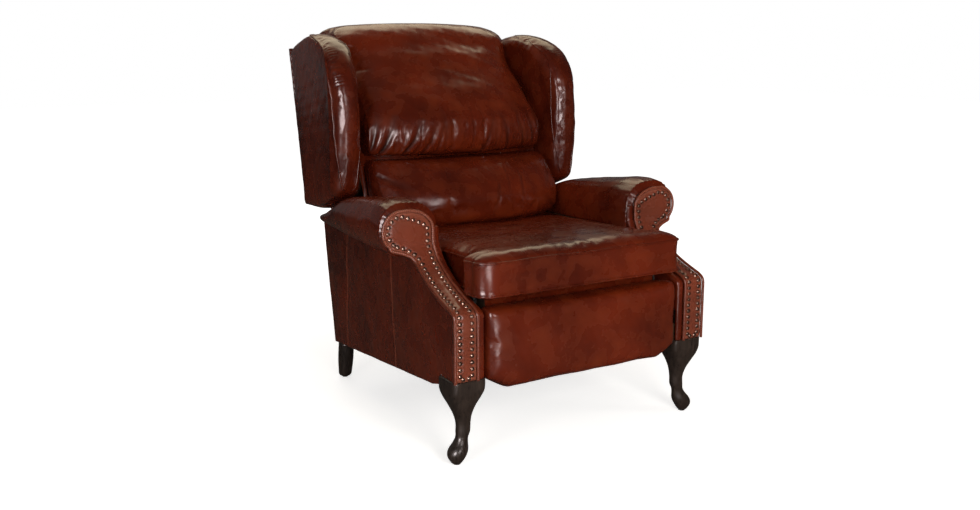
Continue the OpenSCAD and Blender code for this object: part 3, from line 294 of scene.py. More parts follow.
def mirroredPiece(piece, name):
    twin = bpy.data.objects.new(name, piece.data.copy())
    scene.collection.objects.link(twin)
    co = coordinates(twin)
    co[:, 0] *= -1
    setCoordinates(twin, co)
    twin.data.flip_normals()
    return twin


def dress(piece, material, body, stands=()):
    piece.data.materials.clear()
    piece.data.materials.append(material)
    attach(piece, body)
    if stands:
        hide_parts(*stands)
    return piece


# Finishes: leather, wood, metal, cloth

class NodeWork:          # nodes of a material or of the world
    def __init__(self, owner):
        owner.use_nodes = True
        self.tree = owner.node_tree
        self.tree.nodes.clear()

    def node(self, kind, **values):
        made = self.tree.nodes.new(kind)
        for key, value in values.items():
            setattr(made, key, value)
        return made

    def link(self, a, b):
        self.tree.links.new(a, b)

    def remap(self, value, low, high, toLow, toHigh):
        made = self.node("ShaderNodeMapRange")
        for key, number in (("From Min", low), ("From Max", high), ("To Min", toLow), ("To Max", toHigh)):
            made.inputs[key].default_value = number
        self.link(value, made.inputs["Value"])
        return made.outputs[0]

    def maths(self, operation, a, b):
        made = self.node("ShaderNodeMath", operation=operation)
        for socket, value in zip(made.inputs, (a, b)):
            if isinstance(value, (int, float)):
                socket.default_value = value
            else:
                self.link(value, socket)
        return made.outputs[0]


class Shading(NodeWork):     # a material under construction
    def __init__(self, name):
        self.material = bpy.data.materials.new(name)
        super().__init__(self.material)
        self.output = self.node("ShaderNodeOutputMaterial")
        self.shader = self.node("ShaderNodeBsdfPrincipled")
        self.link(self.shader.outputs[0], self.output.inputs[0])
        self.place = self.node("ShaderNodeTexCoord").outputs["Object"]

    def noise(self, size, detail=3.0, roughness=0.55, distortion=0.0, stretch=None):
        made = self.node("ShaderNodeTexNoise")
        made.inputs["Scale"].default_value = 1 / size
        made.inputs["Detail"].default_value = detail
        made.inputs["Roughness"].default_value = roughness
        made.inputs["Distortion"].default_value = distortion
        self.link(self.stretched(stretch), made.inputs["Vector"])
        return made.outputs["Fac"]

    def stretched(self, stretch):
        if stretch is None:
            return self.place
        mapping = self.node("ShaderNodeMapping")
        mapping.inputs["Scale"].default_value = stretch
        self.link(self.place, mapping.inputs["Vector"])
        return mapping.outputs[0]

    def cells(self, size, feature="F1", randomness=1.0):
        made = self.node("ShaderNodeTexVoronoi", feature=feature)
        made.inputs["Scale"].default_value = 1 / size
        made.inputs["Randomness"].default_value = randomness
        self.link(self.place, made.inputs["Vector"])
        return made.outputs["Distance"]

    def blend(self, share, a, b, how="MIX"):
        made = self.node("ShaderNodeMix", data_type="RGBA", blend_type=how)
        if isinstance(share, (int, float)):
            made.inputs[0].default_value = share
        else:
            self.link(share, made.inputs[0])
        for socket, value in ((made.inputs[6], a), (made.inputs[7], b)):
            if isinstance(value, tuple):
                socket.default_value = (*value, 1)
            else:
                self.link(value, socket)
        return made.outputs[2]

    def painted(self, name):
        return self.node("ShaderNodeAttribute", attribute_name=name).outputs["Fac"]

    def bump(self, height, strength, distance, below=None):
        made = self.node("ShaderNodeBump")
        made.inputs["Strength"].default_value = strength
        made.inputs["Distance"].default_value = distance
        self.link(height, made.inputs["Height"])
        if below is not None:
            self.link(below, made.inputs["Normal"])
        return made.outputs[0]

    def finish(self, colour, roughness, normal=None, **fixed):
        for key, value in (("Base Color", colour), ("Roughness", roughness), ("Normal", normal)):
            if value is None:
                continue
            if isinstance(value, (int, float)):
                self.shader.inputs[key].default_value = value
            elif isinstance(value, tuple):
                self.shader.inputs[key].default_value = (*value, 1)
            else:
                self.link(value, self.shader.inputs[key])
        for key, value in fixed.items():
            self.shader.inputs[key.replace("_", " ")].default_value = value
        return self.material


leatherLook = {
    "deep": (0.058, 0.0062, 0.0020), "body": (0.122, 0.0132, 0.0031), "bright": (0.185, 0.028, 0.0052),
    # shaded is a painted shade colour for creases; the lighter colour after it is a painted sheen colour for
    # highlights on seams, welts and the arm facings
    "shaded": (0.014, 0.0035, 0.0022), "sheenColour": (0.30, 0.085, 0.048),
    "cloud": 0.21, "mottle": 0.045, "fleck": 0.009, "grain": 0.0017, "crinkle": 0.014,
    "gloss": (0.24, 0.34),
}


def leatherFinish(name, tone=1.0, grainDepth=0.00022):
    look = leatherLook
    s = Shading(name)
    cloud = s.noise(look["cloud"], 2, 0.5, 0.3)
    mottle = s.noise(look["mottle"], 3, 0.5, 0.15)
    fleck = s.noise(look["fleck"], 3, 0.6)
    colour = s.blend(s.remap(cloud, 0.34, 0.66, 0, 1), look["deep"], look["body"])
    colour = s.blend(s.remap(mottle, 0.42, 0.78, 0, 0.4), colour, look["bright"])
    colour = s.blend(s.remap(fleck, 0.55, 0.8, 0, 0.1), colour, look["deep"])
    # painted shade: darker in creases, pleat troughs, grooves and the dents round each nail
    colour = s.blend(s.painted("creaseShade"), colour, look["shaded"])
    # painted sheen: lighter on seam ridges, on the welts' gathers and over the arm facings
    colour = s.blend(s.painted("sheenPaint"), colour, look["sheenColour"])
    if tone != 1.0:
        colour = s.blend(1.0, colour, (tone, tone, tone), "MULTIPLY")
    grain = s.cells(look["grain"], "SMOOTH_F1", 0.9)
    crinkle = s.noise(look["crinkle"], 6, 0.6, 0.6)
    normal = s.bump(crinkle, 0.08, 0.0006)
    normal = s.bump(grain, 0.15, grainDepth, normal)
    low, high = look["gloss"]
    roughness = s.remap(s.maths("ADD", mottle, s.painted("creaseShade")), 0.35, 0.8, low, high)
    return s.finish(colour, roughness, normal, Specular_IOR_Level=0.40, Coat_Weight=0.20, Coat_Roughness=0.15)


leather = leatherFinish("oxbloodLeather")
piping = leatherFinish("pipingLeather", 0.95, 0.00012)


def woodFinish(name, dark, light, ring, gloss, coat):
    s = Shading(name)
    grain = s.noise(ring, 5, 0.6, 1.2, (6, 6, 0.7))
    pores = s.noise(ring * 0.12, 2, 0.5, 0, (9, 9, 0.5))
    colour = s.blend(s.remap(grain, 0.35, 0.65, 0, 1), dark, light)
    colour = s.blend(s.remap(pores, 0.55, 0.7, 0, 0.6), colour, dark)
    normal = s.bump(pores, 0.25, 0.0003)
    return s.finish(colour, s.remap(grain, 0.3, 0.7, gloss - 0.06, gloss + 0.08), normal,
                    Coat_Weight=coat, Coat_Roughness=0.2)


legWood = woodFinish("stainedWood", (0.015, 0.010, 0.008), (0.042, 0.028, 0.022), 0.05, 0.32, 0.45)
# painted shade: the frame timber is coloured darker than frame wood is, so that where it shows through gaps it
# reads as shade
timber = woodFinish("frameTimber", (0.050, 0.026, 0.013), (0.105, 0.058, 0.030), 0.05, 0.6, 0.0)


def metalFinish(name, base, stain, gloss, metallic):
    s = Shading(name)
    patch = s.noise(0.02, 4, 0.6)
    scratch = s.noise(0.0015, 2, 0.5, 0, (1, 0.1, 1))
    colour = s.blend(s.remap(patch, 0.4, 0.7, 0, 1), base, stain)
    roughness = s.remap(s.maths("ADD", patch, scratch), 0.7, 1.3, gloss, gloss + 0.2)
    return s.finish(colour, roughness, s.bump(scratch, 0.15, 0.0001), Metallic=metallic)


steel = metalFinish("blackSteel", (0.030, 0.031, 0.034), (0.055, 0.052, 0.05), 0.32, 0.0)
springSteel = metalFinish("springSteel", (0.30, 0.31, 0.33), (0.16, 0.15, 0.14), 0.28, 1.0)
glideFinish = metalFinish("glidePlastic", (0.03, 0.03, 0.032), (0.045, 0.044, 0.042), 0.5, 0.0)


def nailFinish():
    s = Shading("antiqueNail")
    patina = s.noise(0.0035, 3, 0.65)
    colour = s.blend(s.remap(patina, 0.42, 0.62, 0, 1), (0.17, 0.105, 0.08), (0.62, 0.43, 0.34))
    return s.finish(colour, s.remap(patina, 0.4, 0.65, 0.42, 0.2), s.bump(patina, 0.4, 0.0004), Metallic=1.0)


nailMetal = nailFinish()


def clothFinish():
    s = Shading("deckCloth")
    weft = s.node("ShaderNodeTexWave", wave_type="BANDS", bands_direction="X")
    warp = s.node("ShaderNodeTexWave", wave_type="BANDS", bands_direction="Y")
    for thread in (weft, warp):
        thread.inputs["Scale"].default_value = 150
        s.link(s.place, thread.inputs["Vector"])
    weave = s.maths("MAXIMUM", weft.outputs["Fac"], warp.outputs["Fac"])
    colour = s.blend(s.remap(weave, 0.2, 1, 0, 1), (0.012, 0.012, 0.012), (0.05, 0.048, 0.045))
    return s.finish(colour, 0.85, s.bump(weave, 0.5, 0.0005), Sheen_Weight=0.3)


deckCloth = clothFinish()
print("finishes made")


# Facing of the arm: post, sweep and scroll

armLook = {
    "innerX": 300, "bandX": 323, "crownX": 397, "outerX": 384, "armHeight": 620, "setback": 217,
    "rollRadius": 61, "scrollInset": 10, "sink": 10.5, "overhang": 24, "footDrop": 29,
    "postTop": 384, "postFoot": 215.3,
    "step": 2.6, "columns": 38, "edgeRound": 5, "thickness": 10,
    "dome": 3.2, "groove": 5.4, "grooveDepth": 1.2, "grooveWidth": 1.7, "uneven": 0.35,
    # the last two set painted sheen on the facing: over all of it, and more in a ring near its edge
    "nailDent": 1.5, "nailRidge": 0.5, "sheenPaint": 0.3, "edgeSheen": 0.3,
    "weltRadius": 3.9, "weltOutset": 0.6, "weltSink": 1.4, "weltStep": 1.3, "ticks": 5.2,
    "sweep": [(0, -0.9), (0, -0.35), (0, -0.12), (0.018, -0.037), (0.06, 0.012), (0.12, 0.052),
              (0.276, 0.136), (0.438, 0.238), (0.59, 0.356), (0.76, 0.525), (0.876, 0.68), (0.945, 0.82),
              (0.988, 0.94), (1, 1.1)],
}
scrollRadius = armLook["rollRadius"] - armLook["scrollInset"]
scrollX = armLook["outerX"] + armLook["overhang"]
scrollZ = armLook["armHeight"] - armLook["rollRadius"] - armLook["sink"]
scrollFoot = scrollZ - armLook["footDrop"]
headLow = scrollZ - scrollRadius


def frontProfile():      # depth and height of the facing's middle line, from the leg to the scroll's top
    sweep = splinePath([(a * armLook["setback"], max(armLook["postFoot"], lerp(armLook["postTop"], scrollFoot, b)))
                        for a, b in armLook["sweep"]], 8)
    sweep = [p for p in sweep if armLook["postFoot"] + 5 < p[1] < scrollFoot]
    line = ([(0, armLook["postFoot"])] + [(max(p[0], 0), p[1]) for p in sweep]
            + [(armLook["setback"], scrollFoot), (armLook["setback"], scrollZ + scrollRadius - 0.4)])
    return evenPath(line, armLook["step"])


profile = frontProfile()
profileRun = runs(profile)
profileTangent = np.gradient(profile, axis=0)
profileTangent /= np.linalg.norm(profileTangent, axis=1)[:, None]
profileNormal = np.column_stack([-profileTangent[:, 1], profileTangent[:, 0]])


def facingLeft(z):
    rise = np.clip((z - scrollZ) / scrollRadius, 0, 1)      # an oval that meets the scroll's round at its top
    return armLook["crownX"] - (armLook["crownX"] - armLook["bandX"]) * np.sqrt(1 - rise ** 2)


def facingRight(z):
    first = scrollZ - scrollRadius * math.sin(math.radians(42))
    neck = tableAt([(0, 0), (0.45, 0.12), (0.85, 0.55), (1, 0.93)], (z - headLow + 25) / 30)
    low = lerp(armLook["outerX"], scrollX + scrollRadius * math.cos(math.radians(42)), neck)
    round_ = scrollX + np.sqrt(np.maximum(scrollRadius ** 2 - (z - scrollZ) ** 2, 0))
    return np.where(z >= first, round_, low)


def softened(values, passes):
    for _ in range(passes):
        values = np.concatenate([values[:1], (values[:-2] + 2 * values[1:-1] + values[2:]) / 4, values[-1:]])
    return values


edgeLeft = facingLeft(profile[:, 1])
edgeRight = softened(facingRight(profile[:, 1]), 2)
flatEdge = np.vstack([np.column_stack([edgeRight, profileRun]), np.column_stack([edgeLeft, profileRun])[::-1]])
flatLoop = evenPath(flatEdge, armLook["step"])


def edgeDistance(flat, loop):
    a, b = loop, np.roll(loop, -1, axis=0)
    way = b - a
    length = np.maximum((way ** 2).sum(1), 1e-9)
    best = np.full(len(flat), 1e9)
    for i in range(len(a)):
        t = np.clip(((flat - a[i]) @ way[i]) / length[i], 0, 1)
        best = np.minimum(best, ((flat - a[i] - t[:, None] * way[i]) ** 2).sum(1))
    return np.sqrt(best)


def onProfile(flat, lift=0.0):      # from the flat layout to the standing facing, and its outward direction
    y = np.interp(flat[:, 1], profileRun, profile[:, 0])
    z = np.interp(flat[:, 1], profileRun, profile[:, 1])
    ny = np.interp(flat[:, 1], profileRun, profileNormal[:, 0])
    nz = np.interp(flat[:, 1], profileRun, profileNormal[:, 1])
    outward = np.column_stack([np.zeros(len(flat)), ny, nz])
    outward /= np.linalg.norm(outward, axis=1)[:, None]
    return np.column_stack([flat[:, 0], y, z]) + outward * np.reshape(lift, (-1, 1)), outward


def nailPlaces(node):    # centre of each nail of the frame's nail node, for the left side
    bm = bmesh.new()
    bm.from_mesh(nodes[node].data)
    bmesh.ops.remove_doubles(bm, verts=bm.verts, dist=1e-5)
    left, centres = set(bm.verts), []
    for first in bm.verts:       # in the mesh's own order, so that each run finds the same row
        if first not in left:
            continue
        left.remove(first)
        group, edge = [], [first]
        while edge:
            v = edge.pop()
            group.append(v.co.copy())
            for e in v.link_edges:
                other = e.other_vert(v)
                if other in left:
                    left.remove(other)
                    edge.append(other)
        centres.append(np.mean(np.array(group), axis=0) / mm + np.array([0, midDepth, 0]))
    bm.free()
    flat = []
    for c in centres:
        k = np.argmin(((profile - c[1:]) ** 2).sum(1))
        along = (c[1:] - profile[k]) @ profileTangent[k]
        flat.append((abs(c[0]), profileRun[k] + along))
    return np.array(flat)


nailFlat = nailPlaces("arm_nails_left")
print("nails found on one arm:", len(nailFlat))


def facing():
    across = armLook["columns"]
    shares = (1 - np.cos(np.linspace(0, math.pi, across))) / 2 * 0.5 + np.linspace(0, 1, across) * 0.5
    flat = np.array([(lerp(lo, hi, t), s) for lo, hi, s in zip(edgeLeft, edgeRight, profileRun) for t in shares])
    d = edgeDistance(flat, flatLoop)
    r = armLook["edgeRound"]
    near = np.clip(r - d, 0, r)
    lift = -(r - np.sqrt(np.maximum(r * r - near * near, 0)))
    lift += armLook["dome"] * ease((d - 10) / 30)
    lift -= armLook["grooveDepth"] * np.exp(-((d - armLook["groove"]) / armLook["grooveWidth"]) ** 2)
    for n in nailFlat:       # each nail pulls the leather in and leaves a small ridge round it
        away = ((flat - n) ** 2).sum(1)
        lift += armLook["nailRidge"] * np.exp(-(np.sqrt(away) - 10) ** 2 / 12)
        lift -= armLook["nailDent"] * np.exp(-away / 30)
    lift += armLook["uneven"] * waves(flat, 40, 5)
    front, outward = onProfile(flat, lift)
    back = onProfile(flat)[0] - outward * armLook["thickness"]
    rows = len(profileRun)
    points, faces = slab(toFrame(front).reshape(rows, across, 3), toFrame(back).reshape(rows, across, 3))
    piece = newPiece("armFacingLeft", points, faces)
    # painted shade in the border groove and in the dents round each nail
    creaseShade = np.zeros(len(points))
    creaseShade[:len(flat)] = 0.75 * np.exp(-((d - armLook["groove"]) / 1.5) ** 2)
    for n in nailFlat:
        creaseShade[:len(flat)] += 0.5 * np.exp(-((flat - n) ** 2).sum(1) / 34)
    # painted sheen: the whole facing is lighter, most in a ring near its edge
    sheenPaint = np.zeros(len(points))
    sheenPaint[:len(flat)] = armLook["sheenPaint"] + armLook["edgeSheen"] * np.exp(-((d - 8) / 6) ** 2)
    if len(piece.data.vertices) == len(points):
        paintShare(piece, "creaseShade", creaseShade)
        paintShare(piece, "sheenPaint", sheenPaint)
    return piece


def inwardPath(loop, inset):
    way = np.gradient(loop, axis=0)
    way /= np.linalg.norm(way, axis=1)[:, None]
    return loop + inset * np.column_stack([-way[:, 1], way[:, 0]])


def facingWelt():        # piping gathered round the scroll
    step = armLook["weltStep"]
    path = evenPath(inwardPath(evenPath(flatEdge, step), -armLook["weltOutset"]), step)
    place, outward = onProfile(path, armLook["weltRadius"] - armLook["weltSink"])
    run = np.arange(len(path)) * step
    head = ease((path[:, 1] - np.interp(headLow - 30, profile[:, 1], profileRun)) / 30)
    tick = np.sin(run * 2 * math.pi / armLook["ticks"])
    radius = armLook["weltRadius"] * (1 + (0.03 + 0.07 * head) * tick)
    points, faces = skinRings([toFrame(ring) for ring in tubeRings(place, outward, radius, 10)])
    piece = newPiece("armWeltLeft", points, faces)
    # painted highlights on the piping, brightest on the gather ridges round the scroll
    sheenPaint = np.repeat(0.28 + 0.55 * head * (0.5 + 0.5 * tick), 10)
    paintShare(piece, "sheenPaint", np.concatenate([sheenPaint, [0, 0]])[:len(piece.data.vertices)])
    return piece


nailLook = {"radius": 5.3, "height": 3.1, "rim": 0.5, "sides": 14, "rows": 5, "tilt": 5}


def nailHeads(name, seed, side):
    rng = random.Random(seed)
    points, faces = [], []
    places, outward = onProfile(nailFlat, 0.9)
    for place, up in zip(places, outward):
        tilt = Vector((rng.uniform(-1, 1), rng.uniform(-1, 1), rng.uniform(-1, 1)))
        up = (Vector(up) + tilt * math.sin(math.radians(nailLook["tilt"]))).normalized()
        a = up.orthogonal().normalized()
        b = up.cross(a)
        radius = nailLook["radius"] * rng.uniform(0.95, 1.04)
        first = len(points)
        rings = [(radius * 1.0, -1.2), (radius, 0.0), (radius * 0.97, nailLook["rim"])]
        rings += [(radius * 0.95 * math.cos(t), nailLook["rim"] + nailLook["height"] * math.sin(t))
                  for t in np.linspace(0.25, 1.45, nailLook["rows"])]
        for r, h in rings:
            for k in range(nailLook["sides"]):
                t = 2 * math.pi * k / nailLook["sides"]
                points.append(Vector(place) + up * h + (a * math.cos(t) + b * math.sin(t)) * r)
        n = nailLook["sides"]
        for i in range(len(rings) - 1):
            faces += [(first + i * n + k, first + i * n + (k + 1) % n, first + (i + 1) * n + (k + 1) % n,
                       first + (i + 1) * n + k) for k in range(n)]
        faces.append(tuple(first + (len(rings) - 1) * n + k for k in range(n)))
        faces.append(tuple(first + k for k in reversed(range(n))))
    points = toFrame([tuple(p) for p in points])
    points[:, 0] *= side
    return newPiece(name, points, faces)


facingLeftPiece = facing()
weltLeft = facingWelt()
for side, sign in (("Left", 1), ("Right", -1)):
    face = facingLeftPiece if sign > 0 else mirroredPiece(facingLeftPiece, "armFacingRight")
    dress(face, leather, "base", ["arm_front_" + side.lower()])
    heads = nailHeads("nailHeads" + side, 11 + sign, sign)
    dress(heads, nailMetal, "base", ["arm_nails_" + side.lower()])
weltRight = mirroredPiece(weltLeft, "armWeltRight")
dress(weltLeft, piping, "base", ["arm_welts"])
dress(weltRight, piping, "base", ["arm_welts"])
print("arm facings, welts and nails made")


# Arm rolls

rollLook = {
    "sideShares": [(0, 0), (0, 0.3), (0.01, 0.5), (0.05, 0.68), (0.13, 0.83), (0.26, 0.94), (0.42, 0.99)],
    "centre": 0.64, "neck": 0.48, "ringPoints": 96, "spacing": 5, "gathers": 34, "gatherDepth": 1.3,
    "stations": [(229.6, 0, 91), (309, -2, 88), (449, 17, 82), (530, 27, 76), (575, 34, 71), (612, 44, 66),
                 (652, 60, 60), (700, 78, 53), (750, 96, 45), (800, 110, 34), (840, 118, 20), (870.7, 124, -2)],
}
baseDepth, rearTaper, underFront, underDrop = 871, 39, scrollZ - 66, 0.1


def sideX(y):
    return armLook["outerX"] - rearTaper * y / baseDepth


def underZ(y):
    return underFront - underDrop * (y - armLook["setback"]) / (baseDepth - armLook["setback"])


def armRoll():
    look = rollLook
    stations = evenPath(splinePath(look["stations"], 6), look["spacing"])
    rings = []
    for i, (y, drop, out) in enumerate(stations):
        low, wide = underZ(y), sideX(y) + out - armLook["innerX"]
        tall = armLook["armHeight"] - drop - low
        ring = [(armLook["innerX"] + wide * a, low + tall * b) for a, b in look["sideShares"]]
        ring += [(armLook["innerX"] + wide * (look["centre"] + (1 - look["centre"]) * math.cos(math.radians(a))),
                  low + tall * (1 + math.sin(math.radians(a))) / 2) for a in range(90, -91, -6)]
        ring += [(armLook["innerX"] + wide * look["neck"], low)]
        ring = evenPath(ring, 1, True)
        ring = ring[np.linspace(0, len(ring), look["ringPoints"], endpoint=False).astype(int)]
        for _ in range(2):
            ring = (np.roll(ring, 1, axis=0) + 2 * ring + np.roll(ring, -1, axis=0)) / 4
        middle = ring.mean(axis=0)
        angle = np.linspace(0, 2 * math.pi, len(ring), endpoint=False)
        front = math.exp(-(y - stations[0][0]) / 14)
        gather = look["gatherDepth"] * math.exp(-(y - stations[0][0]) / 22) * np.cos(angle * look["gathers"])
        pull = (middle - ring) / np.linalg.norm(middle - ring, axis=1)[:, None]
        ring = ring + pull * (2.6 * front + gather)[:, None]
        rings.append([(x, y, z) for x, z in ring])
    points, faces = skinRings(rings)
    flat = np.array(points)
    middleX = armLook["innerX"] + 70
    outward = flat[:, [0, 2]] - np.array([middleX, 545])
    outward /= np.linalg.norm(outward, axis=1)[:, None]
    uneven = 0.9 * waves(flat, 120, 21) + 0.35 * waves(flat, 38, 22)
    uneven *= ease((flat[:, 2] - 500) / 25)
    flat[:, [0, 2]] += outward * uneven[:, None]
    flat[:, 0] = np.maximum(flat[:, 0], armLook["innerX"] + 0.1)
    return newPiece("armRollLeft", toFrame(flat), faces)


rollLeft = armRoll()
for side, piece in (("Left", rollLeft), ("Right", mirroredPiece(rollLeft, "armRollRight"))):
    dress(piece, leather, "base", ["arm_roll_" + side.lower()])
print("arm rolls made")


# Outside arm panels with their two upright seams

panelLook = {
    "step": 4, "rows": 84, "thickness": 5, "puff": 2.4, "edge": 7,
    "seams": [((365, 462), (345, 163)), ((672, 476), (691, 138))], "seamWidth": 3.2, "seamRise": 1.1,
}


def panelLowAt(y):
    low = tableAt([(12, 215.3), (84, 215.3), (88, 190), (130, 179), (803, 114)], y)
    return np.where(y > 803, 114 + (y - 803) / 68 * (underZ(baseDepth) - 115), low)


def panelHighAt(y):
    ahead = profile + profileNormal * -(12.3)
    order = np.maximum.accumulate(ahead[:, 0])
    rise = np.interp(y, order, np.maximum.accumulate(ahead[:, 1]))
    return np.where(y < armLook["setback"] + 12, np.minimum(rise, underFront), underZ(y)) - 0.3


def outsidePanel():
    look = panelLook
    columns = np.concatenate([np.arange(13, 24, 1.5), np.arange(24, baseDepth - 1, look["step"]),
                              [baseDepth - 0.6]])
    for (y, z), (y2, z2) in look["seams"]:
        columns = np.concatenate([columns, np.arange(y - 12, y + 18, 1.2)])
    columns = np.unique(np.round(columns, 1))
    shares = (1 - np.cos(np.linspace(0, math.pi, look["rows"]))) / 2 * 0.4 + np.linspace(0, 1, look["rows"]) * 0.6
    low, high = panelLowAt(columns), panelHighAt(columns)
    flat = np.array([(y, lerp(lo, hi, t)) for y, lo, hi in zip(columns, low, high) for t in shares])
    loop = evenPath(np.vstack([np.column_stack([columns, low]), np.column_stack([columns, high])[::-1]]), 5, True)
    d = edgeDistance(flat, loop)
    near = np.clip(look["edge"] - d, 0, look["edge"]) / look["edge"]
    lift = look["puff"] * ease(d / 90) - 3.4 * (1 - np.sqrt(np.maximum(1 - near ** 2, 0)))
    sheenPaint = np.zeros(len(flat))
    for (y, z), (y2, z2) in look["seams"]:
        off = flat[:, 0] - np.interp(flat[:, 1], [z2, z], [y2, y])
        lift += look["seamRise"] * np.exp(-(off / look["seamWidth"]) ** 2)
        lift -= 1.5 * np.exp(-((off - 4.6) / 1.6) ** 2) + 0.9 * np.exp(-(np.abs(off) / 26) ** 2)
        stitch = 0.5 + 0.5 * np.sign(np.sin(flat[:, 1] * 2 * math.pi / 7))
        # painted highlights along each seam's raised ridge and on the stitches beside it
        sheenPaint += 0.75 * np.exp(-(off / 3.0) ** 2)
        sheenPaint += 0.25 * stitch * np.exp(-((off + 4.2) / 1.0) ** 2)
    lift += 0.7 * waves(flat, 150, 31) + 0.25 * waves(flat, 45, 32)
    front = np.column_stack([sideX(flat[:, 0]) + lift - 0.5, flat])
    back = front.copy()
    back[:, 0] = sideX(flat[:, 0]) - look["thickness"] - 0.5
    shape = (len(columns), look["rows"], 3)
    points, faces = slab(toFrame(front).reshape(shape), toFrame(back).reshape(shape))
    piece = newPiece("outsideArmLeft", points, faces)
    if len(piece.data.vertices) == len(points):
        paintShare(piece, "sheenPaint", np.concatenate([sheenPaint, np.zeros(len(flat))]))
    return piece


panelLeft = outsidePanel()
for side, piece in (("Left", panelLeft), ("Right", mirroredPiece(panelLeft, "outsideArmRight"))):
    dress(piece, leather, "base", ["outside_arm_" + side.lower()])


# Plain leather panels: inside arms, arm ends, outside back, base rear, apron

plainPanels = {     # node: (piece name, body, voxel, smoothing, unevenness)
    "inside_arm_left": ("insideArmLeft", "base", 3.4, 2, 0.3),
    "inside_arm_right": ("insideArmRight", "base", 3.4, 2, 0.3),
    "arm_end_left": ("armEndLeft", "base", 3.4, 2, 0.4),
    "arm_end_right": ("armEndRight", "base", 3.4, 2, 0.4),
    "base_rear_panel": ("baseRearPanel", "base", 3.4, 2, 0.5),
    "outside_back": ("outsideBack", "back", 4.2, 3, 1.1),
    "back_apron": ("backApron", "back", 3.4, 2, 0.4),
}
for seed, (node, (name, body, voxel, smoothing, uneven)) in enumerate(plainPanels.items()):
    piece = copyOfNode(node, name)
    remeshed(piece, voxel, smoothing)
    co = coordinates(piece)
    move = waves(co / mm, 170, 40 + seed) + 0.3 * waves(co / mm, 50, 60 + seed)
    setCoordinates(piece, co + normalsOf(piece) * (move * uneven * mm)[:, None])
    dress(piece, leather, body, [node])
print("leather panels made")


# Wings

wingLook = {
    "voxel": 5, "smoothing": 5, "pressure": 2.2, "reach": 5, "sideReach": 1.6,
    "outerSeam": [(900, 1022), (835, 1020), (780, 1011), (725, 993), (685, 968), (660, 932), (643, 890), (635, 850),
                  (626, 786), (621, 715), (619, 650), (618, 600)],
    "innerSeam": [(760, 1008), (708, 985), (665, 954), (648, 922), (642, 901), (638, 850), (636, 792), (630, 735),
                  (623, 683), (619, 630), (617, 585)],
    "weltRadius": 3.2, "seamRadius": 1.6, "gathers": 16, "gatherFan": (22, 96),
}


def wing():
    look = wingLook
    piece = copyOfNode("wing_left", "wingLeft")
    remeshed(piece, look["voxel"], look["smoothing"])
    co = coordinates(piece) / mm + np.array([0, midDepth, 0])
    outerX = np.interp(co[:, 1], [633, 1026], [408, 372])
    innerX = np.interp(co[:, 1], [633, 723], [328, 305])
    side = ease((co[:, 0] - outerX + 12) / 8) * ease((co[:, 1] - 640) / 30)
    inner = ease((innerX + 10 - co[:, 0]) / 6)
    inflate(piece, look["pressure"], lerp(look["reach"], look["sideReach"], np.maximum(side, inner)))
    subdivided(piece)
    co = coordinates(piece) / mm + np.array([0, midDepth, 0])
    normals = normalsOf(piece)
    uneven = 0.8 * waves(co, 120, 71) + 0.3 * waves(co, 36, 72)
    front = 1 - ease((co[:, 1] - 640) / 30)
    pleats = np.zeros(len(co))
    creaseShade = np.zeros(len(co))
    rng = random.Random(5)
    bend = np.array([700.0, 850.0])       # the nose turns over round here; short gathers point at it
    angle = np.degrees(np.arctan2(co[:, 2] - bend[1], bend[0] - co[:, 1]))
    radius = np.hypot(co[:, 2] - bend[1], bend[0] - co[:, 1])
    for k in range(look["gathers"]):
        a = lerp(*look["gatherFan"], (k + rng.uniform(0.2, 0.8)) / look["gathers"])
        wide = rng.uniform(0.9, 1.3)
        x = rng.uniform(384, 398)
        share = np.exp(-((angle - a) / wide) ** 2) * ease((radius - 70) / 25)
        share *= np.exp(-((co[:, 0] - x) / rng.uniform(9, 14)) ** 2)
        pleats -= rng.uniform(0.9, 1.6) * share
        # painted shade along each gather
        creaseShade += 0.45 * share
    setCoordinates(piece, coordinates(piece) + normals * ((uneven * 0.8 + pleats) * mm)[:, None])
    paintShare(piece, "creaseShade", creaseShade)
    return piece


def weltOnPiece(name, piece, path, fromX, radius, lift):
    # lays piping on a piece: the path is in depth and height, and is thrown onto it along X
    tree = BVHTree.FromObject(piece, bpy.context.evaluated_depsgraph_get())
    places, outward = [], []
    direction = Vector((-1 if fromX > 340 else 1, 0, 0))
    for y, z in evenPath(splinePath(path, 8), 1.5):
        start = Vector(toFrame((fromX, y, z))[0])
        hit, normal = tree.ray_cast(start, direction)[:2]
        if hit is not None:
            places.append(np.array(hit))
            outward.append(np.array(normal))
    places, outward = np.array(places), np.array(outward)
    for _ in range(6):
        places[1:-1] = (places[:-2] + 2 * places[1:-1] + places[2:]) / 4
        outward[1:-1] = (outward[:-2] + 2 * outward[1:-1] + outward[2:]) / 4
    places = places + outward * (lift * mm)
    run = np.arange(len(places)) * 1.5
    wave = 1 + 0.04 * np.sin(run * 2 * math.pi / 6)
    points, faces = skinRings(tubeRings(places, outward, radius * mm * wave, 8))
    return newPiece(name, points, faces)


wingLeft = wing()
outerWelt = weltOnPiece("wingOuterWeltLeft", wingLeft, wingLook["outerSeam"], 420, wingLook["weltRadius"], 0.6)
innerWelt = weltOnPiece("wingInnerSeamLeft", wingLeft, wingLook["innerSeam"], 270, wingLook["seamRadius"], 0.4)
wings = [(wingLeft, leather, "leather", ["wing_left"], 0.9),
         (outerWelt, piping, "leather_welt", ["wing_welts"], None),
         (innerWelt, piping, "leather_welt", [], None)]
for piece, material, slotName, stands, fill in wings:
    twin = mirroredPiece(piece, piece.name.replace("Left", "Right"))
    dress(piece, material, "back", stands)
    dress(twin, material, "back", [s.replace("left", "right") for s in stands])
print("wings made")


# Leather strips that close the gaps beside, between and below the pillows

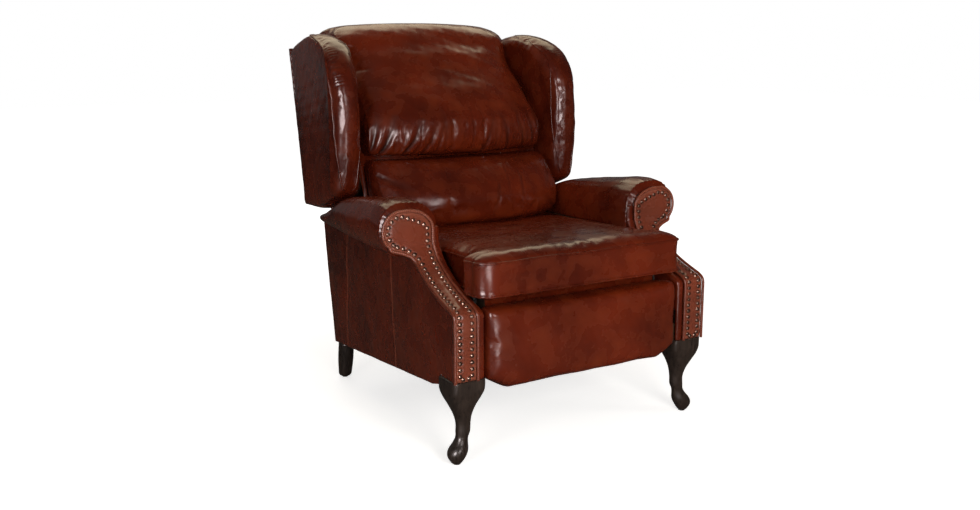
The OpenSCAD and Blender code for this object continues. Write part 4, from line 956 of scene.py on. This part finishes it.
gapLook = {"boardFront": [(385, 655), (487, 625), (676, 700), (800, 775), (900, 850), (975, 905)],
           "from": 283.6, "to": 304.3, "low": 498, "high": 950, "ahead": 0.6, "thick": 2.2,
           "seams": {"pillowSeamStrip": (656, 696), "lumbarFootStrip": (468, 495)},
           "seamHalf": 297, "seamAhead": 3.4}
heights = np.arange(gapLook["low"], gapLook["high"], 6)
depths = tableAt(gapLook["boardFront"], heights) + gapLook["ahead"]
for side, sign in (("Left", 1), ("Right", -1)):
    front, back = [np.array([(sign * x, y + more, z) for y, z in zip(depths, heights)
                             for x in (gapLook["from"], gapLook["to"])]) for more in (0, gapLook["thick"])]
    strip = newPiece("backEdge" + side, *slab(toFrame(front).reshape(-1, 2, 3), toFrame(back).reshape(-1, 2, 3)))
    dress(strip, leather, "back")
for name, (low, high) in gapLook["seams"].items():
    levels = np.linspace(low, high, 5)
    depth = tableAt(gapLook["boardFront"], levels) - gapLook["seamAhead"]
    front, back = [toFrame([(sign * gapLook["seamHalf"], y + more, z) for y, z in zip(depth, levels)
                            for sign in (-1, 1)]).reshape(-1, 2, 3) for more in (0, gapLook["thick"])]
    dress(newPiece(name, *slab(front, back)), leather, "back")


# Head pillow and lumbar pillow

headLook = {
    "voxel": 5.5, "smoothing": 4, "shrink": 0.99, "pressure": 4, "reach": 12, "rearReach": 1,
    "low": (-298.4, 560, 675), "high": (298.4, 1030, 1056), "seed": 3, "pleats": 26, "crown": 4, "crownFall": 9,
}
lumbarLook = {
    "voxel": 5.5, "smoothing": 4, "shrink": 0.99, "pressure": 4, "reach": 6, "rearReach": 1,
    "low": (-298.4, 430, 484), "high": (298.4, 720, 673), "seed": 4, "pleats": 9,
}


def pillow(node, name, look):
    piece = copyOfNode(node, name)
    co = coordinates(piece)
    middle = (co.min(0) + co.max(0)) / 2
    setCoordinates(piece, middle + (co - middle) * look["shrink"])
    remeshed(piece, look["voxel"], look["smoothing"])
    facingRear = ease((normalsOf(piece)[:, 1] + 0.1) / 0.6)
    inflate(piece, look["pressure"], lerp(look["reach"], look["rearReach"], facingRear))
    keepWithin(piece, look["low"], look["high"])
    subdivided(piece)
    co = coordinates(piece)
    move = 1.6 * waves(co / mm, 130, look["seed"]) + 0.5 * waves(co / mm, 42, look["seed"] + 10)
    move *= ease(-normalsOf(piece)[:, 1] + 0.2)
    setCoordinates(piece, co + normalsOf(piece) * (move * mm)[:, None])
    return piece


head = pillow("head_pillow", "headPillow", headLook)
co = coordinates(head)
high = ease((co[:, 2] / mm - 960) / 80)
co[:, 2] += high * (headLook["crown"] - headLook["crownFall"] * np.abs(co[:, 0] / mm / 240) ** 2.2) * mm
setCoordinates(head, co)
rng = random.Random(headLook["seed"])
headPleats = [           # start and end across and up, width, depth
    ((-292, 684), (-262, 800), 9, 7), ((-262, 682), (-218, 792), 10, 8), ((-196, 682), (-150, 776), 10, 7.5),
    ((-140, 683), (-104, 772), 8, 4), ((60, 684), (84, 790), 9, 4), ((150, 684), (118, 800), 9, 4.5),
    ((214, 684), (176, 812), 8, 4), ((262, 686), (232, 806), 8, 4.5), ((296, 690), (262, 846), 8, 4),
]
for k in range(headLook["pleats"]):
    x = lerp(-285, 285, (k + rng.random()) / headLook["pleats"])
    lean = rng.uniform(-14, 22) * (-1 if x > 60 else 1)
    headPleats.append(((x, rng.uniform(680, 700)), (x + lean, rng.uniform(740, 830)),
                       rng.uniform(4, 8), rng.uniform(0.9, 2.2)))
foldLines(head, headPleats, [0, 2], (0, -1, 0))
dress(head, leather, "back", ["head_pillow"])

lumbar = pillow("lumbar_pillow", "lumbarPillow", lumbarLook)
rng = random.Random(lumbarLook["seed"])
lumbarPleats = [
    ((-296, 500), (-205, 560), 11, 6), ((-298, 640), (-220, 600), 10, 5), ((298, 500), (215, 556), 10, 4),
    ((298, 650), (240, 590), 9, 4), ((40, 600), (10, 520), 8, 2.4), ((86, 640), (66, 560), 7, 2.2),
    ((130, 620), (104, 530), 8, 2),
]
for k in range(lumbarLook["pleats"]):
    x = lerp(-240, 240, (k + rng.random()) / lumbarLook["pleats"])
    lumbarPleats.append(((x, 664), (x + rng.uniform(-16, 16), rng.uniform(560, 630)),
                         rng.uniform(6, 10), rng.uniform(0.7, 1.6)))
foldLines(lumbar, lumbarPleats, [0, 2], (0, -1, 0))
dress(lumbar, leather, "back", ["lumbar_pillow"])
print("back pillows made")


# Seat cushion with its two welts

seatLook = {
    "voxel": 6, "smoothing": 3, "shrink": 0.992, "pressure": 4, "reach": 9, "lowReach": 1,
    "low": (-323, -22, 407.6), "high": (323, 566, 528), "seed": 8,
    "halfWidth": 297, "halfDepth": 287, "corner": 44, "front": -14, "bottom": 407.5, "thick": 95.5,
    "drop": 28, "weltRadius": 2.7, "weltSink": 1.2, "weltLevels": (0.92, 0.06),
    "ears": [(40, 16), (66, 0)], "ear": 23, "sideRoom": 298.6, "weltRoom": 299.6,
}


def cushionLoop(look, level):
    w, d, r = look["halfWidth"], look["halfDepth"], look["corner"]
    middle = look["front"] + look["halfDepth"]
    loop = []
    for cx, cy, start in ((w - r, d - r, 0), (r - w, d - r, 90), (r - w, r - d, 180), (w - r, r - d, 270)):
        for k in range(13):      # a quarter turn in steps of 7.5 degrees
            a = math.radians(start + 7.5 * k)
            loop.append((cx + r * math.cos(a), middle + cy + r * math.sin(a)))
    loop = evenPath(loop, 2, True)
    back = (loop[:, 1] - look["front"]) / (2 * look["halfDepth"])
    z = look["bottom"] + look["thick"] * level - look["drop"] * level * back
    loop = np.column_stack([loop, z])
    loop[:, 0] *= 1 + earAt(toFrame(loop)) / look["halfWidth"]
    return loop


def edgeWelt(name, piece, loop, radius, sink):
    # piping that lies on the piece's surface beside a closed loop given in mm
    tree = BVHTree.FromObject(piece, bpy.context.evaluated_depsgraph_get())
    places, outward = [], []
    for p in toFrame(loop):
        hit, normal = tree.find_nearest(Vector(p))[:2]
        places.append(np.array(hit))
        outward.append(np.array(normal))
    places, outward = np.array(places), np.array(outward)
    for _ in range(5):
        places = (np.roll(places, 1, axis=0) + 2 * places + np.roll(places, -1, axis=0)) / 4
        outward = (np.roll(outward, 1, axis=0) + 2 * outward + np.roll(outward, -1, axis=0)) / 4
    places = places + outward * ((radius - sink) * mm)
    rings = tubeRings(np.vstack([places, places[:2]]), np.vstack([outward, outward[:2]]), radius * mm, 8)
    points, faces = skinRings(rings[1:], False)
    return newPiece(name, points, faces)


def earAt(co):          # how far the cushion puffs out ahead of the arms' faces, in mm
    ahead = np.minimum(np.interp(co[:, 2] / mm, profile[:, 1], profile[:, 0]) - 8, 86)
    return seatLook["ear"] * ease((ahead - co[:, 1] / mm - midDepth) / 20)


def besideArms(piece, half):        # behind the ears the cushion keeps between the arms
    co = coordinates(piece)
    room = (half + earAt(co)) * mm
    co[:, 0] = np.clip(co[:, 0], -room, room)
    setCoordinates(piece, co)


seat = copyOfNode("seat_cushion", "seatCushion")
co = coordinates(seat)
middle = (co.min(0) + co.max(0)) / 2
setCoordinates(seat, middle + (co - middle) * seatLook["shrink"])
remeshed(seat, seatLook["voxel"], seatLook["smoothing"])
co = coordinates(seat)
before = tableAt(seatLook["ears"], co[:, 1] / mm + midDepth)
co[:, 0] *= (seatLook["halfWidth"] + np.maximum(earAt(co), before)) / (seatLook["halfWidth"] + before)
setCoordinates(seat, co)
underside = ease(-normalsOf(seat)[:, 2] / 0.7)
inflate(seat, seatLook["pressure"], lerp(seatLook["reach"], seatLook["lowReach"], underside))
keepWithin(seat, seatLook["low"], seatLook["high"])
subdivided(seat)
co = coordinates(seat)
move = 1.7 * waves(co / mm, 170, seatLook["seed"]) + 0.45 * waves(co / mm, 50, seatLook["seed"] + 1)
move *= ease(normalsOf(seat)[:, 2] + 0.3)
setCoordinates(seat, co + normalsOf(seat) * (move * mm)[:, None])
keepWithin(seat, seatLook["low"], seatLook["high"])
besideArms(seat, seatLook["sideRoom"])
topWelt, lowWelt = [edgeWelt(name, seat, cushionLoop(seatLook, level), seatLook["weltRadius"], seatLook["weltSink"])
                    for name, level in zip(("seatTopWelt", "seatLowWelt"), seatLook["weltLevels"])]
keepWithin(lowWelt, (-320, -24, 407.6), (320, 568, 528))
besideArms(topWelt, seatLook["weltRoom"])
besideArms(lowWelt, seatLook["weltRoom"])
dress(seat, leather, "seat", ["seat_cushion"])
dress(topWelt, piping, "seat")
dress(lowWelt, piping, "seat")
print("seat cushion made")


# Leather cover on the front of the seat frame

coverLook = {"half": 263, "low": 356, "high": 402.6, "front": 64.2, "thick": 1.5}
front, back = [toFrame([(sign * coverLook["half"], coverLook["front"] + more, z)
                        for z in (coverLook["low"], coverLook["high"]) for sign in (-1, 1)]).reshape(2, 2, 3)
               for more in (0, coverLook["thick"])]
dress(newPiece("seatFrontCover", *slab(front, back), False), leather, "seat")


# Footrest pad

padLook = {
    "voxel": 4.4, "smoothing": 3, "shrink": (1.035, 0.992, 1.034), "pressure": 3, "reach": 3.5, "rearReach": 0.4,
    "sag": 3, "belly": 13, "middleZ": 284, "half": (292, 101),
    "low": (-297, -28, 174), "high": (297, 44.2, 387), "seed": 15,
}
pad = copyOfNode("footrest_pad", "footrestPad")
co = coordinates(pad)
middle = (co.min(0) + co.max(0)) / 2
co = middle + (co - middle) * np.array(padLook["shrink"])
co[:, 2] -= padLook["sag"] * mm
setCoordinates(pad, co)
remeshed(pad, padLook["voxel"], padLook["smoothing"])
behind = ease((normalsOf(pad)[:, 1] + 0.2) / 0.6)
inflate(pad, padLook["pressure"], lerp(padLook["reach"], padLook["rearReach"], behind))
keepWithin(pad, padLook["low"], padLook["high"])
subdivided(pad)
co = coordinates(pad)
across = co[:, 0] / mm / padLook["half"][0]
up = (co[:, 2] / mm - padLook["middleZ"]) / padLook["half"][1]
full = np.sqrt(np.clip(1 - across ** 4, 0, 1)) * np.sqrt(np.clip(1 - up ** 4, 0, 1))
co[:, 1] -= padLook["belly"] * mm * full * ease(-normalsOf(pad)[:, 1] * 1.2)
setCoordinates(pad, co)
move = 0.9 * waves(co / mm, 120, padLook["seed"]) + 0.3 * waves(co / mm, 36, padLook["seed"] + 1)
move *= ease(-normalsOf(pad)[:, 1] * 1.5)
setCoordinates(pad, co + normalsOf(pad) * (move * mm)[:, None])
keepWithin(pad, padLook["low"], padLook["high"])
dress(pad, leather, "footrest", ["footrest_pad"])
print("footrest pad made")


# Legs

legLook = {
    "height": 215, "foot": 4, "half": (44, 40.5), "place": (342, 40.5), "ankle": 15.5, "swell": 1.6,
    "footRadius": 25, "sides": 48, "shift": 0.43, "corner": 1.37,
    # height share, block share, ankle share, squareness, outward shift
    "table": [(1, 0.985, 0, 1, 0), (0.985, 1, 0, 1, 0), (0.93, 1, 0, 1, 0),
              (0.86, 0.99, 0, 0.92, 0.02), (0.78, 0.9, 0, 0.7, 0.05),
              (0.68, 0.72, 0, 0.4, 0.04), (0.57, 0.53, 0, 0.15, -0.02), (0.46, 0.43, 0, 0, -0.06),
              (0.36, 0.16, 0.72, 0, -0.04), (0.29, 0, 1.02, 0, 0.04), (0.23, 0, 1.2, 0, 0.14),
              (0.17, 0, 1.52, 0, 0.27), (0.12, 0, 1.6, 0, 0.36), (0.07, 0, 1.42, 0, 0.42), (0.03, 0, 1.1, 0, 0.43),
              (0, 0, 0.8, 0, 0.43)],
}


def frontLeg():
    look = legLook
    rings = []
    for level, wide, thin, square, out in splinePath(look["table"], 5):
        level, square = min(level, 1), min(max(square, 0), 1)
        swell = lerp(1, look["footRadius"] / (look["swell"] * look["ankle"]), max(0, out) / look["shift"])
        rx = look["half"][0] * wide + look["ankle"] * thin * swell
        ry = look["half"][1] * wide + look["ankle"] * thin * swell
        ring = []
        for k in range(look["sides"]):
            a = 2 * math.pi * (k + 0.5) / look["sides"]
            reach = lerp(1, min(1 / max(abs(math.cos(a)), abs(math.sin(a))), look["corner"]), square)
            ring.append((look["place"][0] + out * look["half"][0] + rx * reach * math.cos(a),
                         look["place"][1] - out * look["half"][1] / 4 + ry * reach * math.sin(a),
                         lerp(look["foot"], look["height"], level)))
        rings.append(ring)
    points, faces = skinRings(rings)
    return newPiece("frontLegLeft", toFrame(points), faces)


rearLegLook = {
    "place": (318, 783), "radius": 23, "rake": 16, "foot": 4, "height": 113, "sides": 40,
    "table": [(1, 1), (0.5, 1), (0.1, 0.86), (0.045, 0.8), (0.012, 0.7), (0, 0.6)],
}


def rearLeg():
    look = rearLegLook
    turns = [2 * math.pi * k / look["sides"] for k in range(look["sides"])]
    rings = []
    for level, size in splinePath(look["table"], 5):
        radius = look["radius"] * size
        rings.append([(look["place"][0] + radius * math.cos(a),
                       look["place"][1] + look["rake"] * (1 - level) + radius * math.sin(a),
                       lerp(look["foot"], look["height"], level)) for a in turns])
    points, faces = skinRings(rings)
    return newPiece("rearLegLeft", toFrame(points), faces)


for made, node in ((frontLeg(), "front_leg_"), (rearLeg(), "rear_leg_")):
    twin = mirroredPiece(made, made.name.replace("Left", "Right"))
    dress(made, legWood, "base", [node + "left"])
    dress(twin, legWood, "base", [node + "right"])
print("legs made")


# Hardware and timber that the frame already has

bySlot = {"timber": timber, "steel": steel, "black_cloth": deckCloth, "glide": glideFinish, "leather": leather,
          "leather_welt": piping, "leg_wood": legWood, "antique_brass": nailMetal}
for part in frame["record"]["subparts"]:
    item = nodes[part["node"]]
    finish = springSteel if part["node"].endswith("springs") else bySlot[part["material_slot"]]
    item.data.materials.clear()
    item.data.materials.append(finish)
print("frame parts finished")


# Floor, light and camera

studio = {
    "floorSize": 30, "floorColour": (0.86, 0.86, 0.86), "floorReflected": (0.06, 0.048, 0.042), "floorGlow": 0.68,
    "floorGlowReach": (0.7, 2.2), "skyFill": (0.86, 0.80, 0.74), "skyStrength": 0.18,
    "roomShown": 0.02, "backdropShown": 0.10,      # how bright the dim room and the backdrop look in the gloss
    "lamps": [     # place, aim, width, height, watts, colour, lights surfaces, shows in reflections
        ((-2.45, -1.6, 1.0), (0, 0, 0.6), 0.8, 1.2, 62, (1, 0.90, 0.90), False, True),
        ((-2.6, -1.7, 1.5), (0, 0, 0.5), 0.9, 1.3, 16, (1, 0.95, 0.9), True, False),
        ((-0.4, -2.7, 1.0), (0, -0.2, 0.4), 0.9, 0.9, 40, (1, 0.96, 0.90), True, False),
        ((-0.9, -3.4, 1.7), (0, -0.2, 0.5), 0.9, 1.0, 24, (1, 0.90, 0.88), False, True),
        ((-0.8, -2.2, 0.02), (-0.8, -2.2, 1.0), 0.7, 1.6, 34, (1, 0.90, 0.88), False, True),
        ((-0.3, 0.5, 3.0), (0, 0, 0.5), 2.0, 0.9, 14, (1, 0.94, 0.78), True, False),
        ((2.6, -2.2, 1.3), (0, 0, 0.5), 0.8, 1.4, 14, (1, 0.95, 0.9), True, False),
        ((0.6, 3.2, 2.2), (0, 0, 0.6), 1.6, 1.2, 20, (1, 0.97, 0.93), True, False),
        ((0.6, 2.0, 2.8), (0, 0, 0.5), 3.4, 1.5, 30, (1, 0.85, 0.58), False, True),
    ],
}

half = studio["floorSize"] / 2
corners = [(-half, -half, 0), (half, -half, 0), (half, half, 0), (-half, half, 0)]
floorMesh = newPiece("floor", corners, [(0, 1, 2, 3)])
s = Shading("paleFloor")
s.finish(studio["floorColour"], 0.9)
paths = s.node("ShaderNodeLightPath")
s.link(s.blend(paths.outputs["Is Glossy Ray"], studio["floorColour"], studio["floorReflected"]),
       s.shader.inputs["Base Color"])
glow = s.node("ShaderNodeEmission")
away = s.node("ShaderNodeVectorMath", operation="LENGTH")
s.link(s.place, away.inputs[0])
spread = s.remap(away.outputs["Value"], *studio["floorGlowReach"], studio["floorGlow"], 1.0)
s.link(s.maths("MULTIPLY", paths.outputs["Is Camera Ray"], spread), glow.inputs["Strength"])
both = s.node("ShaderNodeAddShader")
s.link(s.shader.outputs[0], both.inputs[0])
s.link(glow.outputs[0], both.inputs[1])
s.link(both.outputs[0], s.output.inputs[0])
floorMesh.data.materials.append(s.material)

world = bpy.data.worlds.new("studio")
scene.world = world
sky = NodeWork(world)
out = sky.node("ShaderNodeOutputWorld")
fill = sky.node("ShaderNodeBackground")
fill.inputs[0].default_value = (*studio["skyFill"], 1)
fill.inputs[1].default_value = studio["skyStrength"]
white = sky.node("ShaderNodeBackground")
white.inputs[0].default_value = (1, 1, 1, 1)
path = sky.node("ShaderNodeLightPath").outputs
split = sky.node("ShaderNodeSeparateXYZ")
sky.link(sky.node("ShaderNodeTexCoord").outputs["Generated"], split.inputs[0])
# the pale backdrop stands behind the chair, the room in front is dim
backdrop = sky.remap(split.outputs["Y"], 0.1, 0.8, studio["roomShown"], studio["backdropShown"])
seen = sky.maths("MAXIMUM", path["Is Camera Ray"], path["Is Transmission Ray"])
sky.link(sky.maths("MAXIMUM", seen, backdrop), white.inputs[1])
mixer = sky.node("ShaderNodeMixShader")
sky.link(sky.maths("MAXIMUM", seen, path["Is Glossy Ray"]), mixer.inputs[0])
sky.link(fill.outputs[0], mixer.inputs[1])
sky.link(white.outputs[0], mixer.inputs[2])
sky.link(mixer.outputs[0], out.inputs[0])

for k, (place, aim, width, height, watts, colour, lights, reflected) in enumerate(studio["lamps"]):
    lamp = bpy.data.lights.new(f"softbox{k}", "AREA")
    lamp.shape = "RECTANGLE"
    lamp.size, lamp.size_y, lamp.energy = width, height, watts
    holder = bpy.data.objects.new(f"softbox{k}", lamp)
    scene.collection.objects.link(holder)
    lamp.color = colour
    holder.visible_camera = False
    holder.visible_diffuse = lights
    holder.visible_glossy = reflected
    holder.location = place
    holder.rotation_euler = (Vector(aim) - Vector(place)).to_track_quat("-Z", "Y").to_euler()

view = {"place": (-1.51614, -2.51139, 0.99959), "down": 11.65, "turn": -31.56, "lens": 37.74, "sensor": 36}
camera = bpy.data.objects.new("camera", bpy.data.cameras.new("camera"))
scene.collection.objects.link(camera)
camera.location = view["place"]
camera.rotation_euler = (math.radians(90 - view["down"]), 0, math.radians(view["turn"]))
camera.data.lens = view["lens"]
camera.data.sensor_width = view["sensor"]
scene.camera = camera
scene.view_settings.view_transform = "Standard"
print("studio set")
